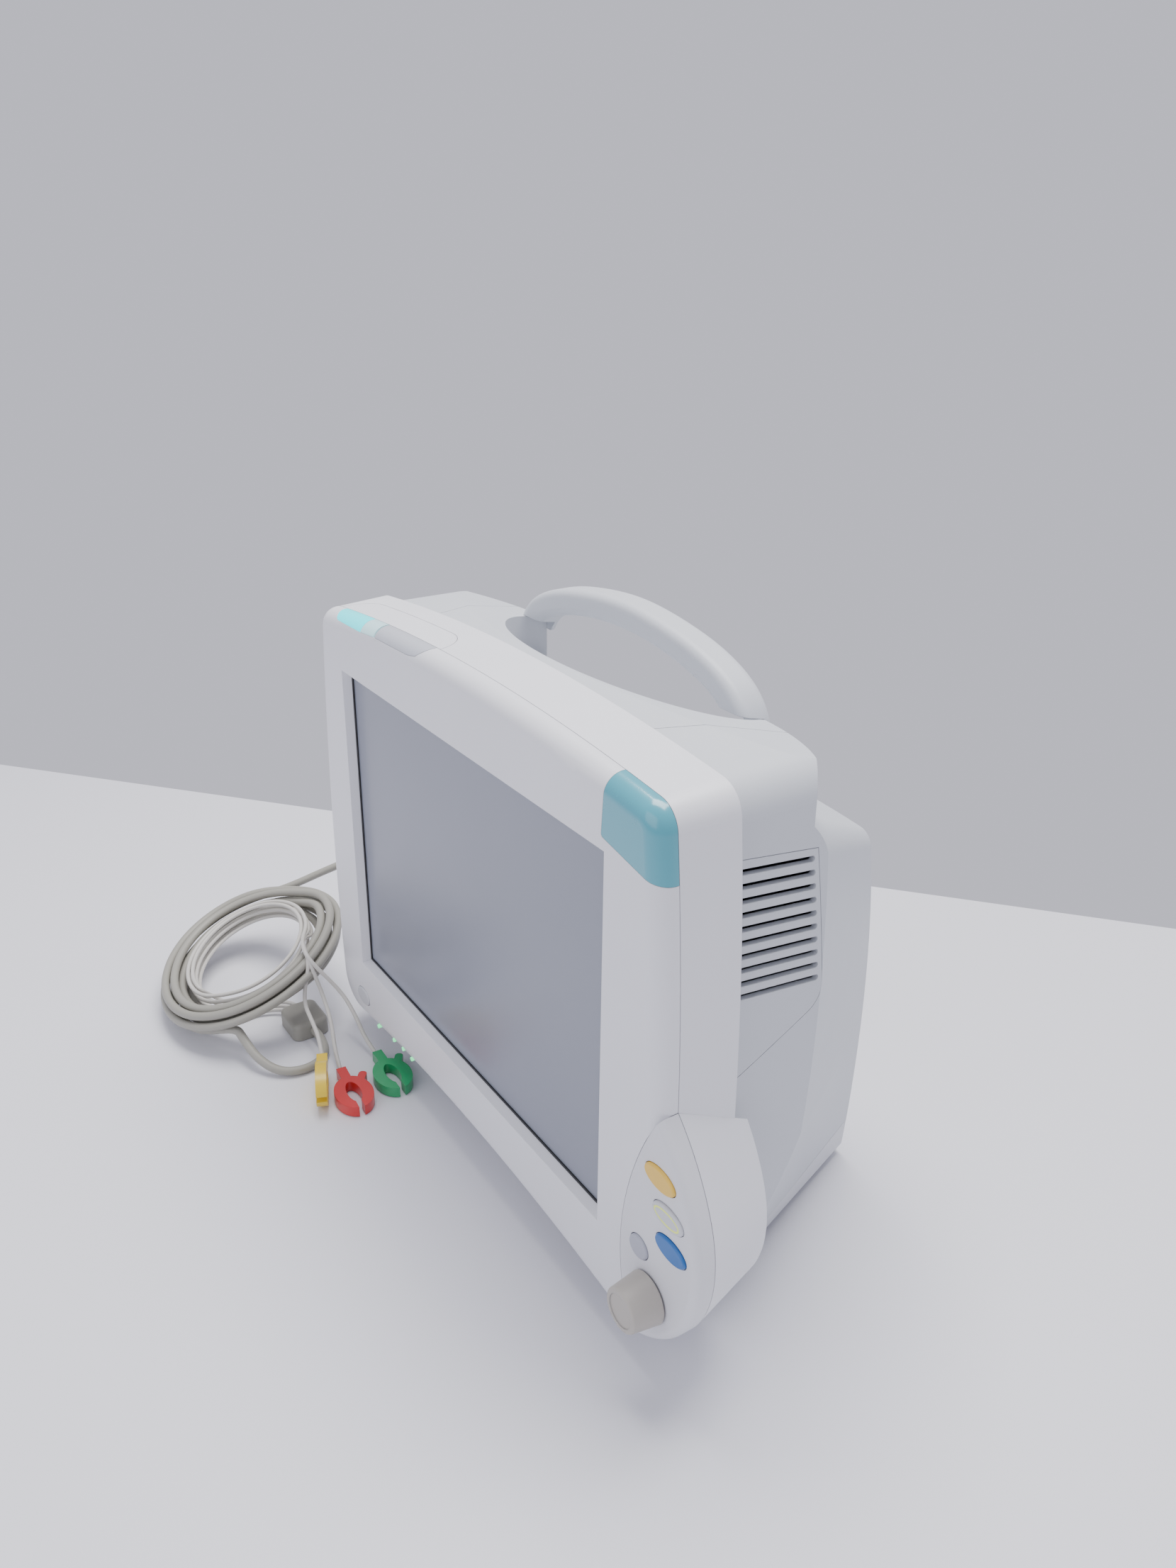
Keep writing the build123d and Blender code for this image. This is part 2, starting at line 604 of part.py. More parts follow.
with BuildPart() as body_cavity:
    add(body_form(WALL))
    with BuildSketch(front_at(BODY_FRONT + 8)) as front_opening:
        body_front_outline(-WALL)
    extrude(front_opening.sketch, amount=12)
    slab((-200, 0, 0), (200, BODY_FRONT + WALL, FRONT_WALL_TOP), mode=Mode.SUBTRACT)
    add(grip_recess(WALL), mode=Mode.SUBTRACT)

with BuildPart() as body_shell:
    add(body_form(0))
    add(grip_recess(0), mode=Mode.SUBTRACT)
    add(body_cavity.part, mode=Mode.SUBTRACT)
BODY_SHELL = body_shell.part


# ---------------------------------------------------------------- divisions of the grey body
VENT_TOP_BACK = (85.5, 246.6)   # y and z of the vent panel's corners in the side view
VENT_TOP_FRONT = (38.4, 252.5)
VENT_LOW_FRONT = (38.4, 144.0)
VENT_LOW_KNEE = (84.5, 167.5)
VENT_BACK_END = (91.5, 184.0)
VENT_INNER_X = 120.0
SLOT_COUNT = 10
SLOT_PITCH = 6.43
SLOT_H = 2.9
SLOT_FIRST_Z = 246.7            # centre of the top slot at its front end
SLOT_TILT = -6.2
SLOT_FRONT = 42.2
SLOT_END_GAP = 1.6              # from a slot's rear end to the panel's edge
BAY_Y = (52.0, 150.0)
BAY_Z = (27.5, 146.0)
BAY_FACE = -167.0               # the module bay's outer face
BAY_DEPTH = 92.0
BAY_WALL = 2.5
PANEL_X = (-84.0, 84.0)         # rear connector panel
PANEL_Z = (92.0, 168.0)
PANEL_T = 2.5
DOOR_X = (-8.0, 84.0)           # battery door, below the connector panel
DOOR_Z = (30.0, 84.0)
HINGE_R = 2.2                   # outside of the door's hinge barrel
HINGE_Y = BODY_BACK + 1.2
HINGE_Z = DOOR_Z[0] + 3.2
HINGE_PIN_R = 1.0
HINGE_FIT = 0.05
LUG_W = 4.0


def vent_region(side, grow=0.0):
    """Side view of a vent panel, cut through one side of the shell: side is +1 right, -1 left."""
    with BuildSketch(side_at(VENT_INNER_X if side > 0 else -200)) as region:
        with BuildLine() as line:
            Polyline(VENT_BACK_END, VENT_TOP_BACK, VENT_TOP_FRONT, VENT_LOW_FRONT)
            lower_edge = ThreePointArc(VENT_LOW_FRONT, (64.0, 156.8), VENT_LOW_KNEE)
            TangentArc(VENT_LOW_KNEE, VENT_BACK_END, tangent=lower_edge % 1)
        make_face(line.edges())
        if grow:
            offset(amount=grow)
    return region.sketch


def vent_slots(side):
    """The cooling slots of one side, as a sketch in the side view."""
    with BuildSketch(side_at(VENT_INNER_X if side > 0 else -200)) as slots:
        for index in range(SLOT_COUNT):
            z = SLOT_FIRST_Z - index * SLOT_PITCH
            fall = (VENT_TOP_BACK[1] - z) / (VENT_TOP_BACK[1] - VENT_BACK_END[1])
            rear = VENT_TOP_BACK[0] + fall * (VENT_BACK_END[0] - VENT_TOP_BACK[0])
            length = rear - SLOT_END_GAP - SLOT_FRONT
            rise = length / 2 * tan(radians(SLOT_TILT))
            with Locations((SLOT_FRONT + length / 2, z + rise)):
                SlotOverall(length, SLOT_H, rotation=SLOT_TILT)
    return slots.sketch


def top_cover_outline(z, grow=0.0):
    """Plan of the top cover between its two seams, drawn at height z."""
    with BuildSketch(plan_at(z)) as plan:
        with BuildLine() as line:
            Polyline((-98, BODY_FRONT - 5), (-109, 70), (-119, UPPER_BACK + 1), (119, UPPER_BACK + 1),
                     (109, 70), (98, BODY_FRONT - 5), close=True)
        make_face(line.edges())
        if grow:
            offset(amount=grow)
    return plan.sketch


with BuildPart() as vent_panels:
    add(BODY_SHELL)
    extrude(vent_region(1), amount=80, mode=Mode.INTERSECT)
    extrude(vent_slots(1), amount=80, mode=Mode.SUBTRACT)
    mirror(vent_panels.part, about=Plane.YZ.offset(CENTRE_X))
write(vent_panels, "vent_panels")

COVER_Z = 246.0                 # the top cover stops here, inside the body
with BuildPart() as top_cover:
    add(BODY_SHELL)
    extrude(top_cover_outline(COVER_Z), amount=100, mode=Mode.INTERSECT)
write(top_cover, "top_cover")

SCREW_R = 3.4
SCREW_SINK = 1.6
SCREW_SPOTS = [(-90, 58), (90, 58), (-60, 162), (60, 162)]
MOUNT_SPACING = 100.0           # mounting holes under the base
MOUNT_CENTRE = (0.0, 110.0)
MOUNT_HOLE_R = 2.0
with BuildPart() as base_tray:
    add(BODY_SHELL)
    slab((-200, 0, 0), (200, 200, TRAY_TOP), mode=Mode.INTERSECT)
    with BuildSketch(plan_at(TRAY_BOTTOM)) as holes:
        with Locations(*SCREW_SPOTS):
            Circle(SCREW_R + 0.1)
    extrude(holes.sketch, amount=SCREW_SINK + 0.4, mode=Mode.SUBTRACT)
    with BuildSketch(plan_at(TRAY_BOTTOM + WALL)) as bosses:
        with Locations(MOUNT_CENTRE):
            with GridLocations(MOUNT_SPACING, MOUNT_SPACING, 2, 2):
                Circle(5)
    extrude(bosses.sketch, amount=7)
    with BuildSketch(plan_at(TRAY_BOTTOM)) as mount_holes:
        with Locations(MOUNT_CENTRE):
            with GridLocations(MOUNT_SPACING, MOUNT_SPACING, 2, 2):
                Circle(MOUNT_HOLE_R)
    extrude(mount_holes.sketch, amount=9, mode=Mode.SUBTRACT)
write(base_tray, "base_tray")

with BuildPart() as main_housing:
    add(BODY_SHELL)
    slab((-200, 0, 0), (200, 200, TRAY_TOP + SEAM), mode=Mode.SUBTRACT)
    extrude(vent_region(1, SEAM), amount=80, mode=Mode.SUBTRACT)
    extrude(vent_region(-1, SEAM), amount=80, mode=Mode.SUBTRACT)
    extrude(top_cover_outline(COVER_Z - SEAM, SEAM), amount=100, mode=Mode.SUBTRACT)
    slab((BAY_FACE - 10, BAY_Y[0] - SEAM, BAY_Z[0] - SEAM),
         (BAY_FACE + BAY_DEPTH + 40, BAY_Y[1] + SEAM, BAY_Z[1] + SEAM), mode=Mode.SUBTRACT)
    slab((PANEL_X[0], BODY_BACK - 10, PANEL_Z[0]), (PANEL_X[1], BODY_BACK + 10, PANEL_Z[1]), mode=Mode.SUBTRACT)
    slab((DOOR_X[0] - 0.5, BODY_BACK - 10, DOOR_Z[0] - 0.5), (DOOR_X[1] + 0.5, BODY_BACK + 10, DOOR_Z[1] + 0.5),
         mode=Mode.SUBTRACT)
    for left in (DOOR_X[0] - 0.8 - LUG_W, DOOR_X[1] + 0.8):
        slab((left, BODY_BACK - 1.0, HINGE_Z - HINGE_R), (left + LUG_W, HINGE_Y, HINGE_Z + HINGE_R))
        with BuildSketch(side_at(left)) as lug_end:
            with Locations((HINGE_Y, HINGE_Z)):
                Circle(HINGE_R)
        extrude(lug_end.sketch, amount=LUG_W)
    with BuildSketch(side_at(DOOR_X[0] - 10)) as pin_hole:
        with Locations((HINGE_Y, HINGE_Z)):
            Circle(HINGE_PIN_R)
    extrude(pin_hole.sketch, amount=DOOR_X[1] - DOOR_X[0] + 20, mode=Mode.SUBTRACT)
write(main_housing, "main_housing")

# ---------------------------------------------------------------- handle
HANDLE_OUTER = [(-101.5, 272.0), (-91.5, 289.0), (-74.5, 298.9), (-40, 307.6), (0, HANDLE_TOP),
                (40, 307.6), (74.5, 298.9), (91.5, 289.0), (101.5, 272.0)]
HANDLE_INNER = [(86.0, 272.0), (77.0, 281.5), (60, 288.6), (32, 294.6), (0, 296.8),
                (-32, 294.6), (-60, 288.6), (-77.0, 281.5), (-86.0, 272.0)]
with BuildPart() as handle:
    with BuildSketch(front_at(HANDLE_BACK - 4)):
        with BuildLine():
            Spline(*HANDLE_OUTER)
            Line(HANDLE_OUTER[-1], HANDLE_INNER[0])
            Spline(*HANDLE_INNER)
            Line(HANDLE_INNER[-1], HANDLE_OUTER[0])
        make_face()
    extrude(amount=HANDLE_BACK - 4 - HANDLE_FRONT)
    long_edges = handle.edges().filter_by(GeomType.BSPLINE)
    fillet(long_edges, 4.5)
    add(body_form(-0.2), mode=Mode.SUBTRACT)
write(handle, "handle")

# ---------------------------------------------------------------- feet
FOOT_R = 9.0
FOOT_SPOTS = [(-112, 58), (112, 58), (-88, 160), (88, 160)]
with BuildPart() as feet:
    with BuildSketch(plan_at(0)):
        with Locations(*FOOT_SPOTS):
            Circle(FOOT_R)
    extrude(amount=FOOT_HEIGHT, taper=6)
write(feet, "feet")

# ---------------------------------------------------------------- screen stack
GLASS_FRONT = 6.0
GLASS_BACK = 8.8
with BuildPart() as screen_gasket:
    with BuildSketch(front_at(GLASS_FRONT - 0.05)):
        screen_rectangle(3.0)
        with Locations((SCREEN_X, SCREEN_Z)):
            Rectangle(OPENING_W - 2 * RECESS_INSET - 2.2, OPENING_H - 2 * RECESS_INSET - 2.2, mode=Mode.SUBTRACT)
    extrude(amount=GLASS_FRONT - 0.05 - RECESS_DEPTH - 0.05)
write(screen_gasket, "screen_gasket")

with BuildPart() as touch_glass:
    with BuildSketch(front_at(GLASS_BACK)):
        screen_rectangle(3.0)
    extrude(amount=GLASS_BACK - GLASS_FRONT)
write(touch_glass, "touch_glass")

LCD_BACK = 19.0
with BuildPart() as lcd_panel:
    slab((SCREEN_X - 131, GLASS_BACK + 0.3, SCREEN_Z - 97), (SCREEN_X + 131, LCD_BACK, SCREEN_Z + 97))
write(lcd_panel, "lcd_panel")

# ---------------------------------------------------------------- chassis and electronics
CHASSIS_Y = 21.0
CHASSIS_T = 1.5
with BuildPart() as chassis:
    slab((-150, CHASSIS_Y, 48), (146, CHASSIS_Y + CHASSIS_T, 262))
    slab((-150, CHASSIS_Y, 48), (146, 50, 49.5))
    slab((-150, CHASSIS_Y, 260.5), (146, 48, 262))
    with BuildSketch(front_at(CHASSIS_Y + CHASSIS_T)):
        with Locations((SCREEN_X, SCREEN_Z)):
            with GridLocations(110, 70, 2, 2):
                RectangleRounded(80, 40, 6)
    extrude(amount=CHASSIS_T, mode=Mode.SUBTRACT)
write(chassis, "chassis")

MAIN_BOARD_Y = 56.0
with BuildPart() as main_board:
    slab((-60, MAIN_BOARD_Y, 150), (110, MAIN_BOARD_Y + 1.6, 245))
    for left, low, width, height in ((-40, 170, 32, 32), (10, 200, 24, 24), (50, 165, 30, 18), (60, 205, 40, 12)):
        slab((left, MAIN_BOARD_Y + 1.6, low), (left + width, MAIN_BOARD_Y + 5, low + height))
write(main_board, "main_board")

with BuildPart() as power_supply:
    slab((0, 84, 92), (96, 128, 164))
write(power_supply, "power_supply")

with BuildPart() as battery:
    slab((-4, 88, 33), (80, 176, 81))
write(battery, "battery")

FAN = (96.0, 205.0)             # fan axis: x and z
FAN_Y = 90.0
with BuildPart() as fan_frame:
    with BuildSketch(front_at(FAN_Y + 15)):
        with Locations(FAN):
            RectangleRounded(50, 50, 4)
            Circle(23.2, mode=Mode.SUBTRACT)
    extrude(amount=15)
    with BuildSketch(front_at(FAN_Y + 15)):
        with Locations(FAN):
            Circle(8)
            Rectangle(48, 3)
            Rectangle(3, 48)
    extrude(amount=1.5)
    with BuildSketch(front_at(FAN_Y + 15)):
        with Locations(FAN):
            Circle(2.0)
    extrude(amount=13)
write(fan_frame, "fan_frame")

FAN_BLADES = 7
with BuildPart() as fan_rotor:
    with BuildSketch(front_at(FAN_Y + 12.5)):
        with Locations(FAN):
            Circle(9.5)
    extrude(amount=11)
    with BuildSketch(front_at(FAN_Y + 11.5)):
        with Locations(FAN):
            with PolarLocations(15.0, FAN_BLADES):
                RectangleRounded(15.6, 2.2, 0.9, rotation=25)
    extrude(amount=9)
    with BuildSketch(front_at(FAN_Y + 13)):
        with Locations(FAN):
            Circle(2.06)
    extrude(amount=11.6, mode=Mode.SUBTRACT)
write(fan_rotor, "fan_rotor")

SPEAKER = (-104.0, 200.0)
with BuildPart() as speaker:
    with BuildSketch(front_at(80)):
        with Locations(SPEAKER):
            RectangleRounded(46, 46, 5)
    extrude(amount=3)
    with BuildSketch(front_at(80)):
        with Locations(SPEAKER):
            Circle(20)
    extrude(amount=-14, taper=28)
write(speaker, "speaker")

# ---------------------------------------------------------------- module bay on the left side
MODULE_GAP = 0.6
DIVIDER_Z = (99.0, 101.0)
with BuildPart() as module_bay:
    slab((BAY_FACE, BAY_Y[0], BAY_Z[0]), (BAY_FACE + BAY_DEPTH, BAY_Y[1], BAY_Z[1]))
    for low, high in ((BAY_Z[0] + BAY_WALL, DIVIDER_Z[0]), (DIVIDER_Z[1], BAY_Z[1] - BAY_WALL)):
        slab((BAY_FACE - 1, BAY_Y[0] + BAY_WALL, low), (BAY_FACE + BAY_DEPTH - BAY_WALL, BAY_Y[1] - BAY_WALL, high),
             mode=Mode.SUBTRACT)
write(module_bay, "module_bay")

MODULE_FACE = BAY_FACE - 3.0
MODULE_Y = (BAY_Y[0] + BAY_WALL + MODULE_GAP, BAY_Y[1] - BAY_WALL - MODULE_GAP)
LOWER_MODULE_Z = (BAY_Z[0] + BAY_WALL + MODULE_GAP, DIVIDER_Z[0] - MODULE_GAP)
UPPER_MODULE_Z = (DIVIDER_Z[1] + MODULE_GAP, BAY_Z[1] - BAY_WALL - MODULE_GAP)
MODULE_INNER = BAY_FACE + BAY_DEPTH - BAY_WALL - 4
ECG_PORT = (72.0, 76.0)         # y and z of the sockets on the lower module
SPO2_PORT = (100.0, 76.0)
NBP_PORT = (126.0, 72.0)
TEMP_PORTS = [(72.0, 46.0), (100.0, 46.0)]
ROUND_PORT_R = 10.5
SOCKET_BORE_R = 7.5             # groove that takes a plug's shell
SOCKET_CORE_R = 5.2             # core with the contacts, inside that shell
SOCKET_DEPTH = 9.0
LATCH_Y = 122.0
LATCH_Z = 112.0
LATCH_SLOT_W = 17.0
LATCH_SLOT_H = 9.0


def module_case(low, high):
    """A plug-in module: a box with rounded front edges."""
    slab((MODULE_FACE, MODULE_Y[0], low), (MODULE_INNER, MODULE_Y[1], high))


with BuildPart() as measurement_module:
    module_case(*LOWER_MODULE_Z)
    fillet(measurement_module.faces().sort_by(Axis.X)[0].outer_wire().edges(), 1.6)
    with BuildSketch(side_at(MODULE_FACE)):
        with Locations(ECG_PORT, SPO2_PORT, *TEMP_PORTS):
            Circle(ROUND_PORT_R)
        with Locations(NBP_PORT):
            Circle(8)
    extrude(amount=14, mode=Mode.SUBTRACT)
write(measurement_module, "measurement_module")

with BuildPart() as patient_sockets:
    with BuildSketch(side_at(MODULE_FACE + 0.8)):
        with Locations(ECG_PORT, SPO2_PORT, *TEMP_PORTS):
            Circle(ROUND_PORT_R - 0.1)
    extrude(amount=13)
    with BuildSketch(side_at(MODULE_FACE)):
        with Locations(ECG_PORT, SPO2_PORT, *TEMP_PORTS):
            Circle(SOCKET_BORE_R)
            Circle(SOCKET_CORE_R, mode=Mode.SUBTRACT)
    extrude(amount=SOCKET_DEPTH, mode=Mode.SUBTRACT)
write(patient_sockets, "patient_sockets")

NBP_R = 3.2
with BuildPart() as nbp_port:
    with BuildSketch(side_at(MODULE_FACE + 13.9)):
        with Locations(NBP_PORT):
            Circle(7.9)
    extrude(amount=-6)
    with BuildSketch(side_at(MODULE_FACE + 8)):
        with Locations(NBP_PORT):
            Circle(NBP_R)
    extrude(amount=-13)
    with BuildSketch(side_at(MODULE_FACE - 6)):
        with Locations(NBP_PORT):
            Circle(1.6)
    extrude(amount=18, mode=Mode.SUBTRACT)
write(nbp_port, "nbp_port")

with BuildPart() as parameter_module:
    module_case(*UPPER_MODULE_Z)
    fillet(parameter_module.faces().sort_by(Axis.X)[0].outer_wire().edges(), 1.6)
    with BuildSketch(side_at(MODULE_FACE)):
        with Locations((LATCH_Y, LATCH_Z)):
            Rectangle(LATCH_SLOT_W, LATCH_SLOT_H)
        with Locations((76, 122), (98, 122)):
            Circle(8.0)
    extrude(amount=8, mode=Mode.SUBTRACT)
write(parameter_module, "parameter_module")

with BuildPart() as pressure_sockets:
    with BuildSketch(side_at(MODULE_FACE + 0.8)):
        with Locations((76, 122), (98, 122)):
            Circle(7.9)
    extrude(amount=7)
    with BuildSketch(side_at(MODULE_FACE + 0.8)):
        with Locations((76, 122), (98, 122)):
            Circle(5.8)
            Circle(4.0, mode=Mode.SUBTRACT)
    extrude(amount=5, mode=Mode.SUBTRACT)
write(pressure_sockets, "pressure_sockets")

with BuildPart() as module_latch:
    slab((MODULE_FACE - 1.2, LATCH_Y - 8, LATCH_Z - 4.2), (MODULE_FACE + 4, LATCH_Y + 8, LATCH_Z + 1.8))
    fillet(module_latch.faces().sort_by(Axis.X)[0].outer_wire().edges(), 1.0)
write(module_latch, "module_latch")

# ---------------------------------------------------------------- rear panel and its fittings
INLET = (-56.0, 112.0)          # x and z of the mains inlet
EARTH = (-56.0, 148.0)
NETWORK = (-6.0, 148.0)
VIDEO = (44.0, 148.0)
INLET_W = 31.0
INLET_H = 24.0
PANEL_BACK = BODY_BACK - 0.5
EARTH_R = 3.0
EARTH_NECK_R = 2.6              # thinner part through the panel and the nut
EARTH_NECK_END = PANEL_BACK + 4.1
EARTH_LENGTH = 8.9              # free end that takes an equipotential lead's socket
with BuildPart() as rear_panel:
    slab((PANEL_X[0] + SEAM, PANEL_BACK - PANEL_T, PANEL_Z[0] + SEAM),
         (PANEL_X[1] - SEAM, PANEL_BACK, PANEL_Z[1] - SEAM))
    with BuildSketch(front_at(PANEL_BACK + 1)):
        with Locations(INLET):
            Rectangle(INLET_W, INLET_H)
        with Locations(EARTH):
            Circle(EARTH_NECK_R + 0.2)
        with Locations(NETWORK):
            Rectangle(16.2, 14.2)
        with Locations(VIDEO):
            Rectangle(39.2, 12.7)
    extrude(amount=PANEL_T + 2, mode=Mode.SUBTRACT)
write(rear_panel, "rear_panel")

IEC_W = 24.5
IEC_H = 16.8
IEC_DEPTH = 17.0
with BuildPart() as mains_inlet:
    with BuildSketch(front_at(PANEL_BACK + 1)):
        with Locations(INLET):
            Rectangle(INLET_W + 8, INLET_H + 6)
            Rectangle(IEC_W, IEC_H, mode=Mode.SUBTRACT)
    extrude(amount=0.95)
    with BuildSketch(front_at(PANEL_BACK + 0.5)):
        with Locations(INLET):
            Rectangle(INLET_W - 0.4, INLET_H - 0.4)
    extrude(amount=23)
    with BuildSketch(front_at(PANEL_BACK + 1)):
        with Locations(INLET):
            Rectangle(IEC_W, IEC_H)
    extrude(amount=IEC_DEPTH + 1, mode=Mode.SUBTRACT)
    with BuildSketch(front_at(PANEL_BACK + 1 - IEC_DEPTH - 1)):
        with Locations((INLET[0], INLET[1] + 2), (INLET[0] - 7, INLET[1] - 2), (INLET[0] + 7, INLET[1] - 2)):
            Rectangle(2, 4)
    extrude(amount=-12)
write(mains_inlet, "mains_inlet")

with BuildPart() as earth_stud:
    with BuildSketch(front_at(EARTH_NECK_END + EARTH_LENGTH)):
        with Locations(EARTH):
            Circle(EARTH_R)
    extrude(amount=EARTH_LENGTH)
    with BuildSketch(front_at(EARTH_NECK_END)):
        with Locations(EARTH):
            Circle(EARTH_NECK_R)
    extrude(amount=EARTH_NECK_END - PANEL_BACK + 11)
    with BuildSketch(front_at(PANEL_BACK + 3.5)):
        with Locations(EARTH):
            RegularPolygon(6, 6)
            Circle(EARTH_NECK_R - 0.5, mode=Mode.SUBTRACT)
    extrude(amount=3.4)
write(earth_stud, "earth_stud")

with BuildPart() as data_connectors:
    with BuildSketch(front_at(PANEL_BACK + 0.4)):
        with Locations(NETWORK):
            Rectangle(16, 14)
    extrude(amount=18)
    with BuildSketch(front_at(PANEL_BACK + 0.4)):
        with Locations(NETWORK):
            Rectangle(11.8, 7)
            with Locations((0, 4.4)):
                Rectangle(6, 2.4)
    extrude(amount=12, mode=Mode.SUBTRACT)
    with BuildSketch(front_at(PANEL_BACK + 0.4)):
        with Locations(VIDEO):
            Rectangle(39, 12.5)
    extrude(amount=12)
    with BuildSketch(front_at(PANEL_BACK + 5.5)):
        with Locations(VIDEO):
            RectangleRounded(24, 9, 2.5)
            RectangleRounded(22, 7, 2, mode=Mode.SUBTRACT)
    extrude(amount=5.2)
write(data_connectors, "data_connectors")

DOOR_T = 2.5
with BuildPart() as battery_door:
    slab((DOOR_X[0] + 0.2, BODY_BACK - DOOR_T, DOOR_Z[0] + 0.2), (DOOR_X[1] - 0.2, BODY_BACK, DOOR_Z[1] - 0.2))
    fillet(battery_door.faces().sort_by(Axis.Y)[-1].outer_wire().edges(), 0.8)
    slab((DOOR_X[0] + 36, BODY_BACK - DOOR_T, DOOR_Z[1] - 14), (DOOR_X[1] - 36, BODY_BACK + 2.5, DOOR_Z[1] - 11))
    with BuildSketch(side_at(DOOR_X[0] + 0.2)) as barrel:
        with Locations((HINGE_Y, HINGE_Z)):
            Circle(HINGE_R)
    extrude(barrel.sketch, amount=DOOR_X[1] - DOOR_X[0] - 0.4)
    with BuildSketch(side_at(DOOR_X[0] - 1)) as barrel_bore:
        with Locations((HINGE_Y, HINGE_Z)):
            Circle(HINGE_PIN_R + HINGE_FIT)
    extrude(barrel_bore.sketch, amount=DOOR_X[1] - DOOR_X[0] + 2, mode=Mode.SUBTRACT)
write(battery_door, "battery_door")

with BuildPart() as door_hinge_pin:
    with BuildSketch(side_at(DOOR_X[0] - 0.8 - LUG_W)):
        with Locations((HINGE_Y, HINGE_Z)):
            Circle(HINGE_PIN_R)
    extrude(amount=DOOR_X[1] - DOOR_X[0] + 2 * (0.8 + LUG_W))
write(door_hinge_pin, "door_hinge_pin")

# ---------------------------------------------------------------- screws
with BuildPart() as base_screws:
    with BuildSketch(plan_at(TRAY_BOTTOM + 0.4)):
        with Locations(*SCREW_SPOTS):
            Circle(SCREW_R)
    extrude(amount=SCREW_SINK)
    with BuildSketch(plan_at(TRAY_BOTTOM + 0.4)):
        with Locations(*SCREW_SPOTS):
            RegularPolygon(1.5, 6)
    extrude(amount=1.0, mode=Mode.SUBTRACT)
write(base_screws, "base_screws")

PANEL_SCREWS = [(PANEL_X[0] + 5, PANEL_Z[0] + 5), (PANEL_X[1] - 5, PANEL_Z[0] + 5),
                (PANEL_X[0] + 5, PANEL_Z[1] - 5), (PANEL_X[1] - 5, PANEL_Z[1] - 5)]
with BuildPart() as panel_screws:
    with BuildSketch(front_at(PANEL_BACK + 1.8)):
        with Locations(*PANEL_SCREWS):
            Circle(2.8)
    extrude(amount=1.8)
    with BuildSketch(front_at(PANEL_BACK + 1.8)):
        with Locations(*PANEL_SCREWS):
            Rectangle(3.4, 0.7)
            Rectangle(0.7, 3.4)
    extrude(amount=0.9, mode=Mode.SUBTRACT)
write(panel_screws, "panel_screws")

# ---------------------------------------------------------------- cords: routes as lists of body numbers
POWER_D = 7.0
POWER_START = (INLET[0], 238.0, INLET[1])
POWER_ROUTE = [POWER_START, (-56, 258, 112), (-57, 281, 99), (-61, 295, 75), (-68, 299, 48), (-80, 300, 24),
               (-100, 301, 9), (-124, 300, 3.6)]
POWER_COIL_CENTRE = (-126.0, 254.0)
POWER_COIL_R = 42.0             # middle of the turns
POWER_COIL_HALF = 10.5          # three turns wide and three high
POWER_TAIL = [(-128, 207, 3.6), (-108, 206, 3.6), (-88, 209, 3.8), (-72, 217, 5.0), (-60, 230, 9), (-52, 245, 14)]
PLUG_END = POWER_TAIL[-1]

TRUNK_D = 5.5
PLUG_CABLE_X = MODULE_FACE - 46.0
TRUNK_ROUTE = [(PLUG_CABLE_X, ECG_PORT[0], ECG_PORT[1]), (-237, 71, 75), (-258, 60, 67), (-274, 35, 54),
               (-284, 6, 42), (-293, -22, 32)]
RING_CENTRE = (-228.0, -42.0, 32.0)
RING_LEAN = 20.0                # degrees, its right side up against the monitor
RING_OUTER = (66.0, 77.0)       # half-axes across and along the leaning direction
RING_INNER = (42.0, 53.0)
RING_HALF_H = 9.0
TRUNK_TAIL = [(-176, -70, 22), (-160, -73, 17), (-144, -70, 9), (-130, -61, 3.8), (-124.5, -46, 3.2),
              (-130, -31.5, 3.2), (-144, -25.5, 4.6), (-158, -27, 6)]
BLOCK_BOX = ((-186.0, -40.0, 0.3), (-158.0, -16.0, 12.0))

LEAD_D = 2.6
LEAD_IN = [(-186, -28, 6), (-197, -31, 4), (-203, -42, 3), (-204, -55, 4), (-207, -67, 8), (-215, -76, 14)]
LEAD_IN_STEP = (-3.4, 3.4)      # from one lead to the next in x and y
CLIP_YELLOW = ((-119.0, -37.0, 12.4), (0.92, -0.386, 0))
CLIP_RED = ((-110.0, -29.0, 3.8), (0.995, -0.1, 0))
CLIP_GREEN = ((-114.0, -3.0, 3.8), (0.999, -0.05, 0))
LEAD_OUT = {
    "yellow": [(-174, -26, 38), (-160, -32, 29), (-145, -32, 21), (-132, -33, 16), CLIP_YELLOW[0]],
    "red": [(-173, -18, 39), (-156, -19, 28), (-138, -22, 19), (-123, -27, 9), CLIP_RED[0]],
    "green": [(-171, -10, 41), (-154, -8, 31), (-138, -6, 21), (-126, -5, 9), CLIP_GREEN[0]],
}


def in_row(point):
    """A place in body numbers as a vector of the row frame."""
    return Vector(CENTRE_X + point[0], FRONT_Y + point[1], point[2])


def tube(route, diameter, label):
    """Round tube along straight runs with one tangent arc at each corner; prints its radii and length."""
    points = [in_row(point) for point in route]
    runs = [after - before for before, after in zip(points, points[1:])]
    radii = []
    for before, after in zip(runs, runs[1:]):
        half_turn = radians(before.get_angle(after)) / 2
        radii.append(0.45 * min(before.length, after.length) / tan(half_turn))
    with BuildLine() as path:
        FilletPolyline(*points, radius=radii)
    length = sum(edge.length for edge in path.edges())
    with BuildPart() as body:
        with BuildSketch(Plane(origin=points[0], z_dir=runs[0])) as section:
            Circle(diameter / 2)
        sweep(section.sketch, path=path.wires()[0])
    true_volume = length * pi * diameter ** 2 / 4
    print(f"  {label}: length {length:.0f} mm, tightest radius {min(radii):.1f} mm, "
          f"volume {body.part.volume / true_volume:.3f} of section times length")
    return body.part


